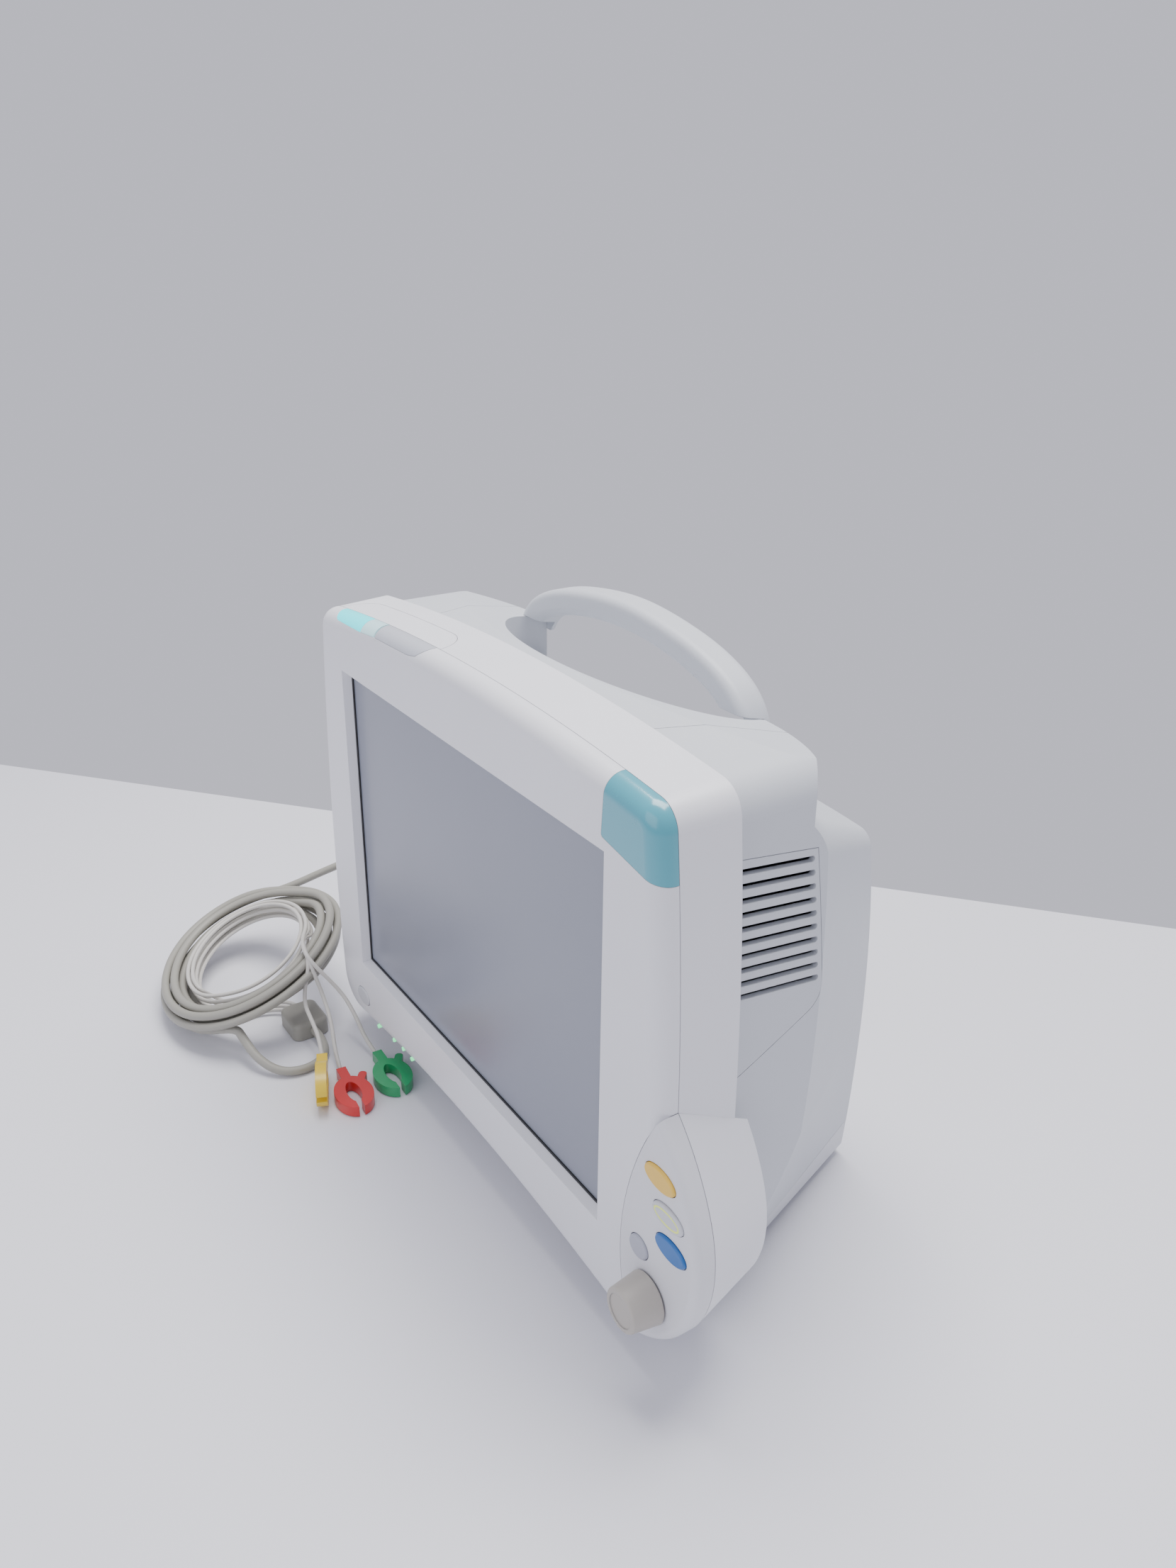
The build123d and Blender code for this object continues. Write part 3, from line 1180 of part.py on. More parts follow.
# ---------------------------------------------------------------- mains connector, cord, coil and plug
CONNECTOR_NOSE = 15.5           # length inside the inlet
CONNECTOR_GRIP_BACK = 211.0
with BuildPart() as iec_connector:
    with BuildSketch(front_at(PANEL_BACK + 1)):
        with Locations(INLET):
            Rectangle(IEC_W - 0.6, IEC_H - 0.6)
    extrude(amount=CONNECTOR_NOSE)
    with BuildSketch(front_at(PANEL_BACK + 1 - CONNECTOR_NOSE)):
        with Locations((INLET[0], INLET[1] + 2), (INLET[0] - 7, INLET[1] - 2), (INLET[0] + 7, INLET[1] - 2)):
            Rectangle(2.6, 4.6)
    extrude(amount=-12, mode=Mode.SUBTRACT)
    with BuildSketch(front_at(CONNECTOR_GRIP_BACK)) as grip_back:
        with Locations(INLET):
            RectangleRounded(17, 15, 5)
    with BuildSketch(front_at(PANEL_BACK + 1)) as grip_front:
        with Locations(INLET):
            RectangleRounded(28, 20, 5)
    loft([grip_front.sketch, grip_back.sketch])
    with BuildSketch(front_at(POWER_START[1])) as relief_back:
        with Locations(INLET):
            Circle(POWER_D / 2 + 0.8)
    with BuildSketch(front_at(CONNECTOR_GRIP_BACK)) as relief_front:
        with Locations(INLET):
            Circle(6.6)
    loft([relief_front.sketch, relief_back.sketch])
write(iec_connector, "iec_connector", on_cord=True)

with BuildPart() as power_coil:
    with BuildSketch(side_at(POWER_COIL_CENTRE[0])) as turns:
        with Locations((POWER_COIL_CENTRE[1] + POWER_COIL_R, POWER_COIL_HALF + 0.1)):
            RectangleRounded(2 * POWER_COIL_HALF, 2 * POWER_COIL_HALF, POWER_D / 2 - 0.1)
    revolve(turns.sketch, axis=Axis(in_row((*POWER_COIL_CENTRE, 0)), (0, 0, 1)))
write(power_coil, "power_coil", on_cord=True)

with BuildPart() as power_cord:
    add(tube(POWER_ROUTE, POWER_D, "mains lead to its coil"))
    add(tube(POWER_TAIL, POWER_D, "mains lead from its coil to the plug"))
    add(power_coil.part, mode=Mode.SUBTRACT)
write(power_cord, "power_cord", on_cord=True)

PLUG_DIRECTION = in_row(POWER_TAIL[-1]) - in_row(POWER_TAIL[-2])
PLUG_AXIS = Vector(PLUG_DIRECTION.X, PLUG_DIRECTION.Y, 0).normalized()
with BuildPart() as mains_plug:
    with BuildSketch(Plane(origin=in_row(PLUG_END), z_dir=PLUG_DIRECTION)) as plug_relief:
        Circle(POWER_D / 2 + 0.6)
    plug_start = in_row((PLUG_END[0], PLUG_END[1], 19)) + PLUG_AXIS * 24
    with BuildSketch(Plane(origin=plug_start, z_dir=PLUG_AXIS)) as plug_neck:
        Circle(8.5)
    loft([plug_relief.sketch, plug_neck.sketch])
    with BuildSketch(Plane(origin=plug_start, z_dir=PLUG_AXIS)):
        Circle(18.5)
    extrude(amount=24)
    fillet(mains_plug.edges().filter_by(lambda edge: abs(edge.length - 2 * pi * 18.5) < 1), 4)
    pin_plane = Plane(origin=plug_start + PLUG_AXIS * 24, z_dir=PLUG_AXIS, x_dir=(-PLUG_AXIS.Y, PLUG_AXIS.X, 0))
    with BuildSketch(pin_plane):
        with Locations((-9.5, 0), (9.5, 0)):
            Circle(2.4)
    extrude(amount=19)
write(mains_plug, "mains_plug", on_cord=True)

# ---------------------------------------------------------------- patient cable, its coil, block, leads and clips
lean = radians(RING_LEAN)
ACROSS = Vector(0.29, 0.957, 0).normalized()
ALONG = Vector(0.957, -0.29, 0).normalized()
RING_U = ACROSS * cos(lean) + Vector(0, 0, sin(lean))
RING_PLANE = Plane(origin=in_row(RING_CENTRE), x_dir=RING_U, z_dir=ALONG.cross(RING_U))

with BuildPart() as ecg_coil:
    with BuildSketch(RING_PLANE.offset(-RING_HALF_H)) as ring_section:
        Ellipse(*RING_OUTER)
        Ellipse(*RING_INNER, mode=Mode.SUBTRACT)
    extrude(ring_section.sketch, amount=2 * RING_HALF_H)
    fillet(ecg_coil.edges(), 6)
write(ecg_coil, "ecg_coil", on_cord=True)

with BuildPart() as ecg_plug:
    with BuildSketch(side_at(MODULE_FACE + SOCKET_DEPTH - 1.0)):
        with Locations(ECG_PORT):
            Circle(SOCKET_BORE_R - 0.3)
            Circle(SOCKET_CORE_R + 0.3, mode=Mode.SUBTRACT)
    extrude(amount=-(SOCKET_DEPTH - 1.0))
    with BuildSketch(side_at(MODULE_FACE - 0.2)):
        with Locations(ECG_PORT):
            Circle(9.0)
    extrude(amount=-22)
    with BuildSketch(side_at(MODULE_FACE)):
        with Locations(ECG_PORT):
            Circle(SOCKET_BORE_R - 0.3)
    extrude(amount=-1)
    with BuildSketch(side_at(MODULE_FACE - 22)) as plug_shoulder:
        with Locations(ECG_PORT):
            Circle(6.5)
    with BuildSketch(side_at(PLUG_CABLE_X)) as plug_tip:
        with Locations(ECG_PORT):
            Circle(TRUNK_D / 2 + 0.5)
    loft([plug_shoulder.sketch, plug_tip.sketch])
write(ecg_plug, "ecg_plug", on_cord=True)

with BuildPart() as lead_block:
    slab(*BLOCK_BOX)
    fillet(lead_block.edges().filter_by(Axis.Z), 5)
    fillet(lead_block.faces().sort_by(Axis.Z)[-1].outer_wire().edges(), 3)
write(lead_block, "lead_block", on_cord=True)

with BuildPart() as ecg_trunk:
    add(tube(TRUNK_ROUTE, TRUNK_D, "patient cable to its ring"))
    add(tube(TRUNK_TAIL, TRUNK_D, "patient cable from its ring to the block"))
    for neighbour in (ecg_coil, ecg_plug, lead_block):
        add(neighbour.part, mode=Mode.SUBTRACT)
write(ecg_trunk, "ecg_trunk", on_cord=True)

CLIP_LENGTH = 42.0
CLIP_W = 23.0
CLIP_T = 6.6


def clip_body(start, direction, standing):
    """A pinch clip: a stem for the lead, an oval body with a window, and two jaws at its tip."""
    axis = Vector(*direction).normalized()
    normal = Vector(-axis.Y, axis.X, 0) if standing else Vector(0, 0, 1)
    middle = Plane(origin=in_row(start), x_dir=axis, z_dir=normal)
    with BuildPart() as clip:
        with BuildSketch(middle.offset(-CLIP_T / 2)) as profile:
            with Locations((6, 0)):
                Rectangle(12, 6)
            with Locations((CLIP_LENGTH - 16, 0)):
                Ellipse(16, CLIP_W / 2)
                Ellipse(10, 4.2, mode=Mode.SUBTRACT)
            with Locations((CLIP_LENGTH - 4, 0)):
                Rectangle(12, 3.4, mode=Mode.SUBTRACT)
            with Locations((15, 8)):
                RectangleRounded(13, 5, 2.2, rotation=-32)
        extrude(profile.sketch, amount=CLIP_T)
    return clip.part


with BuildPart() as lead_clips:
    add(clip_body(*CLIP_YELLOW, standing=True))
    add(clip_body(*CLIP_RED, standing=False))
    add(clip_body(*CLIP_GREEN, standing=False))
write(lead_clips, "lead_clips", on_cord=True)
with BuildPart() as ecg_leads:
    for index in (-1, 0, 1):
        way_in = [(x + index * LEAD_IN_STEP[0], y + index * LEAD_IN_STEP[1], z) for x, y, z in LEAD_IN]
        way_in[0] = (LEAD_IN[0][0], LEAD_IN[0][1] + index * LEAD_IN_STEP[1], LEAD_IN[0][2])
        add(tube(way_in, LEAD_D, "lead from the block to the ring"))
    for colour, way_out in LEAD_OUT.items():
        add(tube(way_out, LEAD_D, f"lead from the ring to the {colour} clip"))
    for neighbour in (ecg_coil, lead_block, lead_clips):
        add(neighbour.part, mode=Mode.SUBTRACT)
write(ecg_leads, "ecg_leads", on_cord=True)


own_boxes = [box for label, box in BOXES.items() if label not in CORD_NODES]
low = [min(getattr(box.min, axis) for box in own_boxes) for axis in "XYZ"]
high = [max(getattr(box.max, axis) for box in own_boxes) for axis in "XYZ"]
print("nodes", len(BOXES))
print("monitor box without its cords", [f"{a:.2f} to {b:.2f}" for a, b in zip(low, high)])
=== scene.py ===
"""Looks of a bedside patient monitor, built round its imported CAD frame. Lengths are in metres."""

import json
import math

import bmesh
import bpy
from mathutils import Matrix, Vector


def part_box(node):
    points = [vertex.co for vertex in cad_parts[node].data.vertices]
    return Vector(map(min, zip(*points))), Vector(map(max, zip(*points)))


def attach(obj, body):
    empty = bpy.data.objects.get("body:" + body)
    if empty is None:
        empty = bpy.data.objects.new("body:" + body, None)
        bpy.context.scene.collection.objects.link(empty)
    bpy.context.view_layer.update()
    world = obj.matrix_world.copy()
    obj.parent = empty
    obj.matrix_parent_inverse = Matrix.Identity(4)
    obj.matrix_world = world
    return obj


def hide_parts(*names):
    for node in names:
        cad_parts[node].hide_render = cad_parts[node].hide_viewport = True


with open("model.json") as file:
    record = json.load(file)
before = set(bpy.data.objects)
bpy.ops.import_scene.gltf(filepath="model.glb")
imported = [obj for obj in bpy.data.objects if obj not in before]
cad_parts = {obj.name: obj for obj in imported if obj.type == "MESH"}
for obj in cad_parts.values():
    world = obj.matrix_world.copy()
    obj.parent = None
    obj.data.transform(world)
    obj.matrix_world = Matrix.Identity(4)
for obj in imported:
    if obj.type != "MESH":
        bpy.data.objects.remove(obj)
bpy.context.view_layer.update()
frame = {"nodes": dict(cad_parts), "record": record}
nodes = frame["nodes"]

# ---------------------------------------------------------------- places taken from the frame
bezel_low, bezel_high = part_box("front_bezel")
glass_low, glass_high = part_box("touch_glass")
FRONT = bezel_low.y                                     # the front face
MIDDLE = Vector(((glass_low.x + glass_high.x) / 2 + 0.002, FRONT, 0.0))   # under the body's centre line


def place(x, y, z):
    """A point from the body's centre line, front face and the table, given in millimetres."""
    return Vector((MIDDLE.x + x / 1000, MIDDLE.y + y / 1000, z / 1000))


# ---------------------------------------------------------------- camera, floor and light
CAMERA_AT = place(497.3, -253.2, 482.1)
CAMERA_RIGHT = Vector((0.55069, 0.83463, 0.01157))
CAMERA_UP = Vector((-0.34598, 0.21563, 0.91313))
CAMERA_BACK = Vector((0.75963, -0.50685, 0.40751))
SENSOR = 36.0
LENS = 28.55


def add_camera():
    """The camera, held upright in a 3:4 frame."""
    data = bpy.data.cameras.new("camera")
    data.sensor_fit = "VERTICAL"
    data.sensor_height = SENSOR
    data.lens = LENS
    data.clip_start = 0.01
    data.clip_end = 50
    camera = bpy.data.objects.new("camera", data)
    turn = Matrix((CAMERA_RIGHT, CAMERA_UP, CAMERA_BACK)).transposed()
    camera.matrix_world = Matrix.Translation(CAMERA_AT) @ turn.to_4x4()
    bpy.context.scene.collection.objects.link(camera)
    bpy.context.scene.camera = camera


def new_material(name):
    """An empty node material with its principled shader and its nodes and links."""
    material = bpy.data.materials.new(name)
    material.use_nodes = True
    return material, material.node_tree.nodes, material.node_tree.links


def add_floor():
    """A pale table top that ends in a straight edge behind the object."""
    edge_a = Vector((-0.757, -0.204))
    edge_b = Vector((0.048, 0.487))
    along = (edge_b - edge_a).normalized()
    inward = Vector((along.y, -along.x))
    mesh = bpy.data.meshes.new("floor")
    reach = 6.0
    start = edge_a - along * reach
    stop = edge_b + along * reach
    corners = [start, stop, stop + inward * reach, start + inward * reach]
    mesh.from_pydata([(c.x, c.y, 0.0) for c in corners], [], [(0, 3, 2, 1)])
    floor = bpy.data.objects.new("floor", mesh)
    bpy.context.scene.collection.objects.link(floor)
    material, tree, links = new_material("floor")
    shader = tree["Principled BSDF"]
    shader.inputs["Base Color"].default_value = (0.78, 0.78, 0.83, 1)
    shader.inputs["Roughness"].default_value = 0.45
    mesh.materials.append(material)


def add_area(name, at, aim, size, power, colour):
    """A soft rectangular light aimed at a point."""
    data = bpy.data.lights.new(name, "AREA")
    data.shape = "RECTANGLE"
    data.size, data.size_y = size
    data.energy = power
    data.color = colour
    light = bpy.data.objects.new(name, data)
    light.location = at
    light.rotation_euler = (Vector(aim) - Vector(at)).to_track_quat("-Z", "Y").to_euler()
    bpy.context.scene.collection.objects.link(light)


def add_world():
    """Even, pale surroundings."""
    world = bpy.data.worlds.new("surroundings")
    world.use_nodes = True
    background = world.node_tree.nodes["Background"]
    background.inputs["Color"].default_value = (0.62, 0.62, 0.70, 1)
    background.inputs["Strength"].default_value = 1.1
    bpy.context.scene.world = world


add_camera()
add_floor()
add_world()
add_area("top_light", (-0.15, 0.25, 1.6), (0, 0, 0.2), (1.2, 0.8), 36, (1.0, 0.99, 0.98))
add_area("front_fill", (0.2, -1.4, 0.9), (0, 0, 0.15), (1.4, 1.0), 6, (0.95, 0.96, 1.0))


# ---------------------------------------------------------------- materials
def node(tree, kind, **settings):
    """A new node with some of its settings."""
    made = tree.new(kind)
    for key, value in settings.items():
        setattr(made, key, value)
    return made


def noise(tree, links, coordinates, scale, detail=3.0, roughness=0.5):
    """A noise texture over the object's own coordinates."""
    made = tree.new("ShaderNodeTexNoise")
    made.inputs["Scale"].default_value = scale
    made.inputs["Detail"].default_value = detail
    made.inputs["Roughness"].default_value = roughness
    links.new(coordinates, made.inputs["Vector"])
    return made


def moulded(name, colour, roughness=0.42, grain=0.15, grain_scale=2600, edge=0.0004, wear=0.0, coat=0.0):
    """Moulded plastic: fine spark-eroded grain, soft edges, faint colour and gloss drift, worn edges."""
    material, tree, links = new_material(name)
    shader = tree["Principled BSDF"]
    coordinates = tree.new("ShaderNodeTexCoord").outputs["Object"]
    drift = noise(tree, links, coordinates, 9, 4)
    tint = tree.new("ShaderNodeMix")
    tint.data_type = "RGBA"
    tint.inputs["A"].default_value = (*[c * 0.96 for c in colour], 1)
    tint.inputs["B"].default_value = (*[min(1, c * 1.03) for c in colour], 1)
    links.new(drift.outputs["Fac"], tint.inputs["Factor"])
    surface = tint.outputs["Result"]
    rounded = tree.new("ShaderNodeBevel")
    rounded.samples = 4
    rounded.inputs["Radius"].default_value = edge
    if wear:
        geometry = tree.new("ShaderNodeNewGeometry")
        facing = node(tree, "ShaderNodeVectorMath", operation="DOT_PRODUCT")
        links.new(geometry.outputs["Normal"], facing.inputs[0])
        links.new(rounded.outputs["Normal"], facing.inputs[1])
        rubbed = node(tree, "ShaderNodeMapRange")
        rubbed.inputs["From Min"].default_value = 0.995
        rubbed.inputs["From Max"].default_value = 0.90
        links.new(facing.outputs["Value"], rubbed.inputs["Value"])
        patches = noise(tree, links, coordinates, 260, 5, 0.7)
        patchy = node(tree, "ShaderNodeMath", operation="MULTIPLY")
        links.new(rubbed.outputs["Result"], patchy.inputs[0])
        links.new(patches.outputs["Fac"], patchy.inputs[1])
        amount = node(tree, "ShaderNodeMath", operation="MULTIPLY")
        links.new(patchy.outputs["Value"], amount.inputs[0])
        amount.inputs[1].default_value = wear
        worn = tree.new("ShaderNodeMix")
        worn.data_type = "RGBA"
        links.new(amount.outputs["Value"], worn.inputs["Factor"])
        links.new(surface, worn.inputs["A"])
        worn.inputs["B"].default_value = (*[min(1, c * 0.45 + 0.35) for c in colour], 1)
        surface = worn.outputs["Result"]
    links.new(surface, shader.inputs["Base Color"])
    gloss = noise(tree, links, coordinates, 34, 5, 0.6)
    spread = node(tree, "ShaderNodeMapRange")
    spread.inputs["To Min"].default_value = roughness - 0.05
    spread.inputs["To Max"].default_value = roughness + 0.07
    links.new(gloss.outputs["Fac"], spread.inputs["Value"])
    links.new(spread.outputs["Result"], shader.inputs["Roughness"])
    fine = noise(tree, links, coordinates, grain_scale, 2)
    bump = tree.new("ShaderNodeBump")
    bump.inputs["Strength"].default_value = grain
    bump.inputs["Distance"].default_value = 0.00004
    links.new(fine.outputs["Fac"], bump.inputs["Height"])
    links.new(rounded.outputs["Normal"], bump.inputs["Normal"])
    links.new(bump.outputs["Normal"], shader.inputs["Normal"])
    if coat:
        shader.inputs["Coat Weight"].default_value = coat
        shader.inputs["Coat Roughness"].default_value = 0.12
    return material


def glowing(name, colour, glow, strength):
    """A lit translucent lens."""
    material = moulded(name, colour, roughness=0.22, grain=0.04, coat=0.6)
    shader = material.node_tree.nodes["Principled BSDF"]
    shader.inputs["Emission Color"].default_value = (*glow, 1)
    shader.inputs["Emission Strength"].default_value = strength
    return material


def metal(name, colour, roughness, scratch=0.3):
    """Plain or plated metal with fine brushing."""
    material, tree, links = new_material(name)
    shader = tree["Principled BSDF"]
    shader.inputs["Base Color"].default_value = (*colour, 1)
    shader.inputs["Metallic"].default_value = 1.0
    coordinates = tree.new("ShaderNodeTexCoord").outputs["Object"]
    stretch = tree.new("ShaderNodeMapping")
    stretch.inputs["Scale"].default_value = (1, 1, 30)
    links.new(coordinates, stretch.inputs["Vector"])
    streaks = noise(tree, links, stretch.outputs["Vector"], 180, 4)
    spread = node(tree, "ShaderNodeMapRange")
    spread.inputs["To Min"].default_value = roughness - 0.06
    spread.inputs["To Max"].default_value = roughness + 0.10
    links.new(streaks.outputs["Fac"], spread.inputs["Value"])
    links.new(spread.outputs["Result"], shader.inputs["Roughness"])
    bump = tree.new("ShaderNodeBump")
    bump.inputs["Strength"].default_value = scratch
    bump.inputs["Distance"].default_value = 0.00002
    links.new(streaks.outputs["Fac"], bump.inputs["Height"])
    links.new(bump.outputs["Normal"], shader.inputs["Normal"])
    return material


def screen_glass():
    """Anti-glare display: grey-blue, satin, with faint smears."""
    material, tree, links = new_material("screen")
    shader = tree["Principled BSDF"]
    coordinates = tree.new("ShaderNodeTexCoord").outputs["Object"]
    clouds = noise(tree, links, coordinates, 7, 4)
    tint = tree.new("ShaderNodeMix")
    tint.data_type = "RGBA"
    tint.inputs["A"].default_value = (0.235, 0.25, 0.305, 1)
    tint.inputs["B"].default_value = (0.26, 0.275, 0.33, 1)
    links.new(clouds.outputs["Fac"], tint.inputs["Factor"])
    links.new(tint.outputs["Result"], shader.inputs["Base Color"])
    smears = noise(tree, links, coordinates, 22, 5, 0.6)
    spread = node(tree, "ShaderNodeMapRange")
    spread.inputs["To Min"].default_value = 0.20
    spread.inputs["To Max"].default_value = 0.30
    links.new(smears.outputs["Fac"], spread.inputs["Value"])
    links.new(spread.outputs["Result"], shader.inputs["Roughness"])
    etch = noise(tree, links, coordinates, 5200, 1)
    bump = tree.new("ShaderNodeBump")
    bump.inputs["Strength"].default_value = 0.06
    bump.inputs["Distance"].default_value = 0.00002
    links.new(etch.outputs["Fac"], bump.inputs["Height"])
    links.new(bump.outputs["Normal"], shader.inputs["Normal"])
    return material


def clip_plastic():
    """Lead clips coloured by where each one lies: yellow, red and green."""
    material = moulded("clip_colours", (0.5, 0.5, 0.5), 0.35, grain=0.1, coat=0.2)
    tree = material.node_tree.nodes
    links = material.node_tree.links
    position = tree.new("ShaderNodeSeparateXYZ")
    links.new(tree["Texture Coordinate"].outputs["Object"], position.inputs["Vector"])
    is_green = node(tree, "ShaderNodeMath", operation="GREATER_THAN")
    is_green.inputs[1].default_value = place(0, GREEN_FROM, 0).y
    links.new(position.outputs["Y"], is_green.inputs[0])
    red_or_green = tree.new("ShaderNodeMix")
    red_or_green.data_type = "RGBA"
    red_or_green.inputs["A"].default_value = CLIP_RED
    red_or_green.inputs["B"].default_value = CLIP_GREEN
    links.new(is_green.outputs["Value"], red_or_green.inputs["Factor"])
    slanted = node(tree, "ShaderNodeMath", operation="MULTIPLY_ADD")
    slanted.inputs[1].default_value = YELLOW_SLANT
    links.new(position.outputs["X"], slanted.inputs[0])
    links.new(position.outputs["Y"], slanted.inputs[2])
    is_yellow = node(tree, "ShaderNodeMath", operation="LESS_THAN")
    divide = place(*YELLOW_DIVIDE, 0)
    is_yellow.inputs[1].default_value = divide.x * YELLOW_SLANT + divide.y
    links.new(slanted.outputs["Value"], is_yellow.inputs[0])
    bands = tree.new("ShaderNodeMix")
    bands.data_type = "RGBA"
    bands.inputs["B"].default_value = CLIP_YELLOW
    links.new(red_or_green.outputs["Result"], bands.inputs["A"])
    links.new(is_yellow.outputs["Value"], bands.inputs["Factor"])
    links.new(bands.outputs["Result"], tree["Principled BSDF"].inputs["Base Color"])
    return material


CLIP_YELLOW = (0.78, 0.55, 0.03, 1)
CLIP_RED = (0.62, 0.03, 0.03, 1)
CLIP_GREEN = (0.02, 0.33, 0.12, 1)
GREEN_FROM = -16.5              # the green clip lies behind this y
YELLOW_SLANT = 0.40             # the yellow clip lies in front of a slanted line through this point
YELLOW_DIVIDE = (-110, -34.8)
WHITE = (0.80, 0.80, 0.84)
GREY = (0.58, 0.60, 0.64)
MATERIALS = {
    "bezel_white": moulded("bezel_white", WHITE, 0.36),
    "housing_white": moulded("housing_white", WHITE, 0.38),
    "cool_grey": moulded("cool_grey", GREY, 0.46, grain=0.35, grain_scale=1800),
    "tray_grey": moulded("tray_grey", (0.66, 0.67, 0.71), 0.46, grain=0.35, grain_scale=1800),
    "panel_white": moulded("panel_white", (0.72, 0.72, 0.76), 0.40),
    "taupe": moulded("taupe", (0.44, 0.41, 0.37), 0.40, wear=0.9, edge=0.0009),
    "lit_cyan": glowing("lit_cyan", (0.02, 0.70, 0.78), (0.0, 0.80, 0.88), 1.2),
    "pale_lens": glowing("pale_lens", (0.55, 0.78, 0.82), (0.45, 0.85, 0.90), 0.35),
    "grey_window": moulded("grey_window", (0.55, 0.57, 0.63), 0.2, grain=0.02, coat=0.8),
    "teal": moulded("teal", (0.07, 0.36, 0.45), 0.25, grain=0.03, coat=0.7),
    "yellow": moulded("yellow", (0.82, 0.52, 0.07), 0.35, coat=0.2),
    "light_key": moulded("light_key", (0.62, 0.63, 0.67), 0.35),
    "blue": moulded("blue", (0.01, 0.13, 0.42), 0.32, coat=0.2),
    "key_grey": moulded("key_grey", (0.42, 0.43, 0.50), 0.38),
    "ring_light": glowing("ring_light", (0.60, 0.68, 0.15), (0.6, 0.7, 0.12), 0.5),
    "steel": metal("steel", (0.55, 0.55, 0.56), 0.32),
    "dark_plastic": moulded("dark_plastic", (0.025, 0.025, 0.028), 0.48, grain=0.3),
    "board_green": moulded("board_green", (0.02, 0.12, 0.05), 0.35, grain=0.1),
    "led_green": glowing("led_green", (0.15, 0.7, 0.3), (0.1, 0.9, 0.35), 1.5),
    "rubber": moulded("rubber", (0.03, 0.03, 0.03), 0.7, grain=0.4, grain_scale=900),
    "black_line": moulded("black_line", (0.01, 0.01, 0.012), 0.45),
    "screen": screen_glass(),
    "panel_silver": metal("panel_silver", (0.62, 0.63, 0.64), 0.38),
    "chassis_steel": metal("chassis_steel", (0.5, 0.5, 0.51), 0.4),
    "battery_wrap": moulded("battery_wrap", (0.04, 0.04, 0.045), 0.4),
    "module_face": moulded("module_face", (0.62, 0.63, 0.67), 0.42, grain=0.3),
    "socket_mix": moulded("socket_mix", (0.04, 0.22, 0.28), 0.38),
    "brass": metal("brass", (0.70, 0.55, 0.28), 0.3),
    "black_rubber": moulded("black_rubber", (0.03, 0.03, 0.032), 0.5, grain=0.3, grain_scale=1500),
    "cable_taupe": moulded("cable_taupe", (0.33, 0.32, 0.28), 0.48, grain=0.25, grain_scale=1500),
    "lead_grey": moulded("lead_grey", (0.60, 0.58, 0.54), 0.45, grain=0.2, grain_scale=1500),
    "clip_colours": clip_plastic(),
    "label_paper": moulded("label_paper", (0.86, 0.86, 0.88), 0.5, grain=0.08),
    "label_red": moulded("label_red", (0.36, 0.035, 0.04), 0.5, grain=0.08),
    "label_yellow": moulded("label_yellow", (0.85, 0.66, 0.20), 0.5, grain=0.08),
    "print_grey": moulded("print_grey", (0.22, 0.22, 0.26), 0.55, grain=0.05),
    "tie_white": moulded("tie_white", (0.85, 0.85, 0.84), 0.4),
}
SLOT_LOOKS = {"panel_grey": "panel_white"}


def dress_frame():
    """Gives every CAD node the look of its material slot."""
    slots = {part["node"]: part["material_slot"] for part in frame["record"]["subparts"]}
    for name, piece in nodes.items():
        slot = slots[name]
        look = MATERIALS[SLOT_LOOKS.get(slot, slot)]
        piece.data.materials.clear()
        piece.data.materials.append(look)


dress_frame()

# ---------------------------------------------------------------- cords
POWER_D = 7.0
POWER_ROUTE = [(-56, 238, 112), (-56, 258, 112), (-57, 281, 99), (-61, 295, 75), (-68, 299, 48), (-84, 303, 32)]
POWER_COIL = (-126, 254)
POWER_TAIL = [(-108, 206, 3.6), (-88, 209, 3.8), (-72, 217, 5.0), (-60, 230, 9), (-52, 245, 14)]
POWER_TURNS = 6.5
COLUMN_R = (34.9, 42.2, 49.3)   # the three columns of turns, from the inside out
COLUMN_ENDS = (3.0, 5.0)        # turns after which the lead moves to the next column
LAYER = 7.2                     # from one turn to the one above it
FLOOR_Z = POWER_D / 2 + 0.1
COIL_STEPS = 16                 # control points in a turn

TRUNK_D = 5.5
TRUNK_ROUTE = [(-216, 72, 76), (-237, 71, 75), (-258, 60, 67), (-274, 35, 54), (-284, 6, 42)]
TRUNK_TAIL = [(-160, -73, 17), (-144, -70, 9), (-130, -61, 3.8), (-124.5, -46, 3.2), (-130, -31.5, 3.2),
              (-144, -25.5, 4.6), (-158, -27, 6)]
RING_CENTRE = Vector((-228, -42, 32))
RING_U = Vector((0.2725, 0.8993, 0.342)).normalized()
RING_V = Vector((0.957, -0.29, 0)).normalized()
RING_N = RING_V.cross(RING_U)
RING_HALF = (56, 67)            # half-axes of the middle of the turns
TRUNK_SLOTS = [(8, 0), (4.5, 5.8), (-2, 5.8), (-5, 0), (-8.5, -5.8), (-2, -5.8), (4.5, -5.8)]   # outwards, up
SLOT_TURN = 335                 # degrees that the cable stays in one slot
TRUNK_START = 270
TRUNK_END = 105
RING_STEP = 25                  # degrees between control points

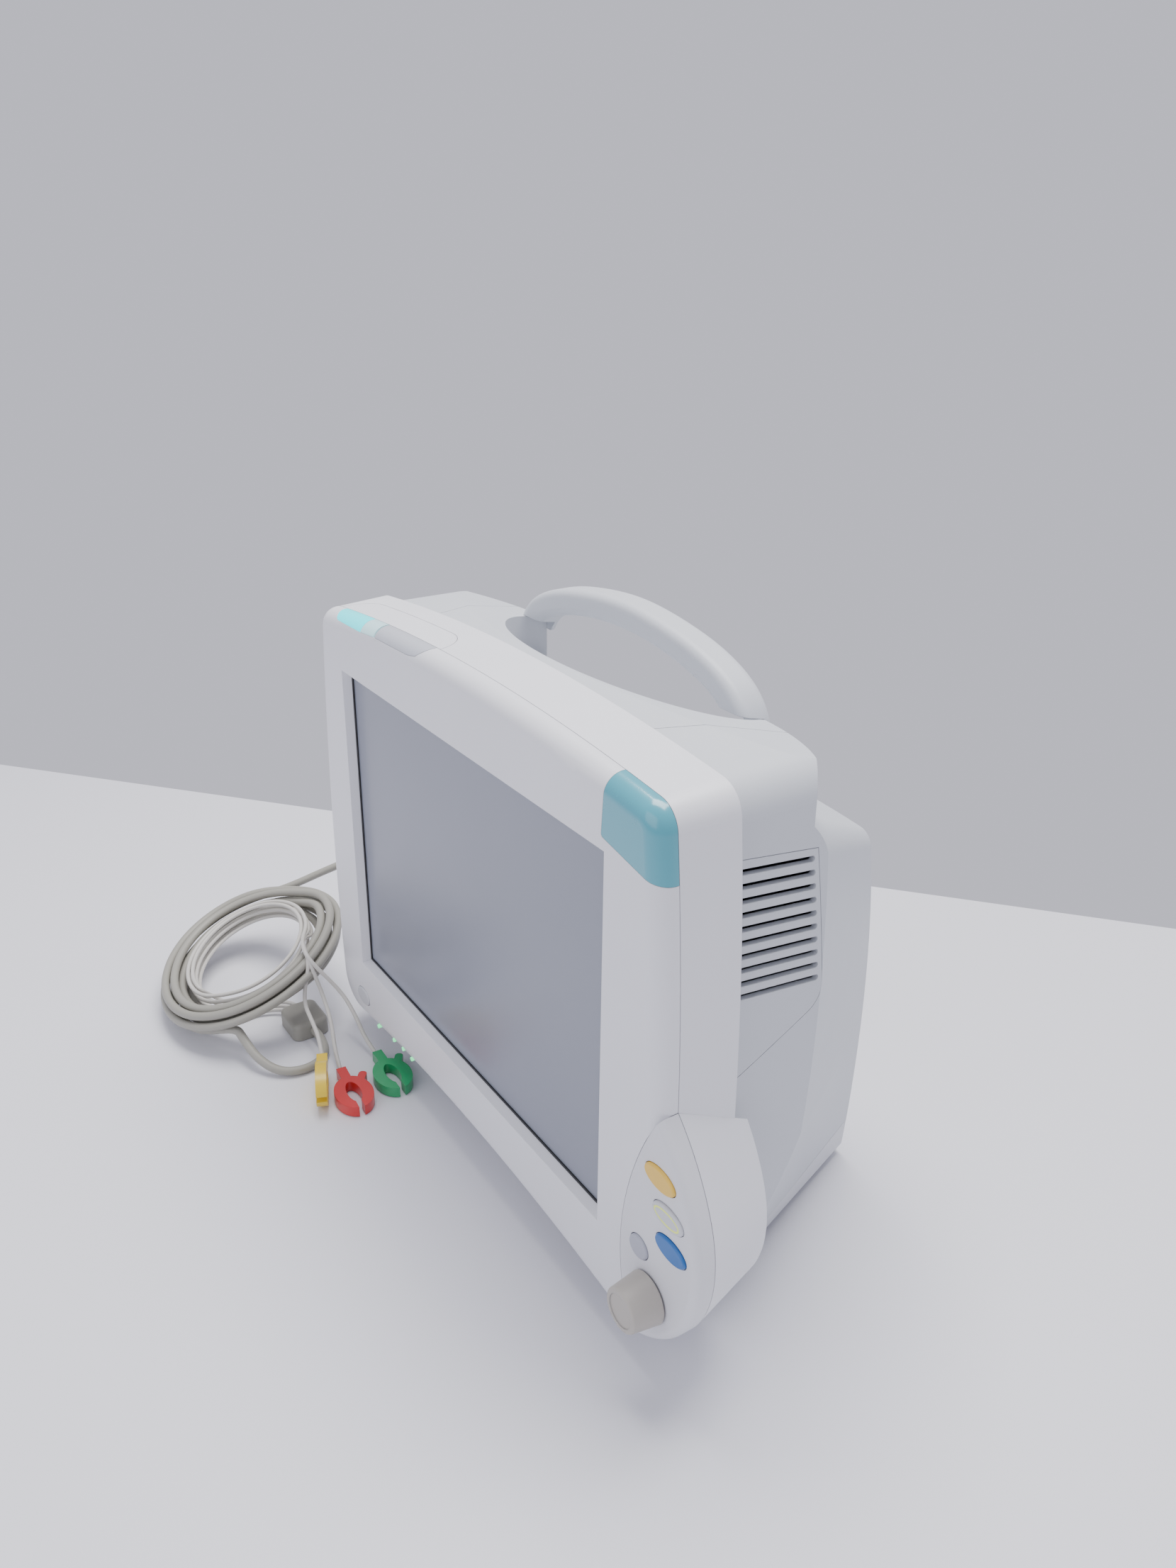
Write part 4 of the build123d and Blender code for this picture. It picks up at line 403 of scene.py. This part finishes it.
LEAD_D = 2.6
LEAD_IN = [(-186, -28, 6), (-197, -31, 4), (-203, -42, 3), (-204, -55, 4), (-207, -67, 8), (-215, -76, 14)]
LEAD_IN_STEP = (-3.4, 3.4)
LEAD_LIFT = (-5.0, 0.2, 5.4)    # how high in the ring each lead's turns lie
LEAD_RINGS = (-16.0, -12.6)     # outwards from the middle of the turns
LEAD_START = 150
LEAD_END = 745
LEAD_OUT = {
    "yellow": [(-160, -32, 29), (-145, -32, 21), (-132, -33, 16), (-119, -37, 12.4)],
    "red": [(-156, -19, 28), (-138, -22, 19), (-123, -27, 9), (-110, -29, 3.8)],
    "green": [(-154, -8, 31), (-138, -6, 21), (-126, -5, 9), (-114, -3, 3.8)],
}


def cord_curve(name, points, diameter, look):
    """A round cord: one smooth open spline with these control points, in body millimetres."""
    data = bpy.data.curves.new(name, "CURVE")
    data.dimensions = "3D"
    data.resolution_u = 8
    data.bevel_depth = diameter / 2000
    data.bevel_resolution = 3
    data.use_fill_caps = True
    line = data.splines.new("NURBS")
    line.points.add(len(points) - 1)
    for control, point in zip(line.points, points):
        control.co = (*place(*point), 1)
    line.order_u = 3
    line.use_endpoint_u = True
    data.materials.append(look)
    made = bpy.data.objects.new(name, data)
    bpy.context.scene.collection.objects.link(made)
    return made


def power_points():
    """The mains lead: down to the floor, over its coil, round three columns of turns and out to the plug."""
    points = list(POWER_ROUTE)
    steps = int(POWER_TURNS * COIL_STEPS)
    for step in range(steps + 1):
        turn = step / COIL_STEPS
        column = sum(turn >= end for end in COLUMN_ENDS)
        radius = COLUMN_R[column]
        if column == 0:
            height = FLOOR_Z + LAYER * (COLUMN_ENDS[0] - turn)
        elif column == 1:
            height = FLOOR_Z + LAYER * (turn - COLUMN_ENDS[0])
        else:
            rest = (POWER_TURNS - turn) / (POWER_TURNS - COLUMN_ENDS[1])
            height = FLOOR_Z + 2 * LAYER * rest
        if turn < 1 / 8:
            radius += (1 / 8 - turn) * 90
        angle = math.pi / 2 + 2 * math.pi * turn
        points.append((POWER_COIL[0] + radius * math.cos(angle), POWER_COIL[1] + radius * math.sin(angle), height))
    return points + POWER_TAIL


def ring_point(degrees, outwards, up):
    """A point on the leaning ring of cable, at an angle and an offset from the middle of its turns."""
    angle = math.radians(degrees)
    point = RING_CENTRE + RING_U * (RING_HALF[0] + outwards) * math.cos(angle)
    point += RING_V * (RING_HALF[1] + outwards) * math.sin(angle) + RING_N * up
    return tuple(point)


def trunk_points():
    """The patient cable: from its plug down to the ring, round in loose turns, and out to the block."""
    points = list(TRUNK_ROUTE)
    whole = TRUNK_START - TRUNK_END + 360 * (len(TRUNK_SLOTS) - 1)
    for travelled in range(0, whole + 1, RING_STEP):
        slot_index = min(travelled // SLOT_TURN, len(TRUNK_SLOTS) - 1)
        outwards, up = TRUNK_SLOTS[slot_index]
        sway = 1.2 * math.sin(math.radians(3 * travelled))
        points.append(ring_point(TRUNK_START - travelled, outwards + sway, up))
    return points + TRUNK_TAIL


def lead_points(index, way_out):
    """A lead: out of the block, under the ring, round inside it, over its raised side and down to a clip."""
    shift = (index - 1) * LEAD_IN_STEP[0], (index - 1) * LEAD_IN_STEP[1]
    points = [(x + shift[0], y + shift[1], z) for x, y, z in LEAD_IN]
    points[0] = (LEAD_IN[0][0], LEAD_IN[0][1] + shift[1], LEAD_IN[0][2])
    for angle in range(LEAD_START, LEAD_END + 1, RING_STEP):
        ring = LEAD_RINGS[0] if angle < LEAD_START + SLOT_TURN else LEAD_RINGS[1]
        points.append(ring_point(angle, ring, LEAD_LIFT[index]))
    points.append(ring_point(30, -10, 10))
    points.append(ring_point(42, -2, 12 + index))
    points.append(ring_point(50, 8, 8 + index))
    return points + way_out


power_lead = cord_curve("power_lead", power_points(), POWER_D, MATERIALS["black_rubber"])
patient_cable = cord_curve("patient_cable", trunk_points(), TRUNK_D, MATERIALS["cable_taupe"])
leads = [cord_curve(f"lead_{colour}", lead_points(index, way_out), LEAD_D, MATERIALS["lead_grey"])
         for index, (colour, way_out) in enumerate(LEAD_OUT.items())]
for cord, stands_for, slot_name in [
    (power_lead, ("power_cord", "power_coil"), "black_rubber"),
    (patient_cable, ("ecg_trunk", "ecg_coil"), "cable_taupe"),
    (leads[0], ("ecg_leads",), "lead_grey"),
    (leads[1], (), "lead_grey"),
    (leads[2], (), "lead_grey"),
]:
    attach(cord, "monitor")
    if stands_for:
        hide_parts(*stands_for)


for index, lead in enumerate(leads):
    first = lead_points(index, LEAD_OUT["yellow"])
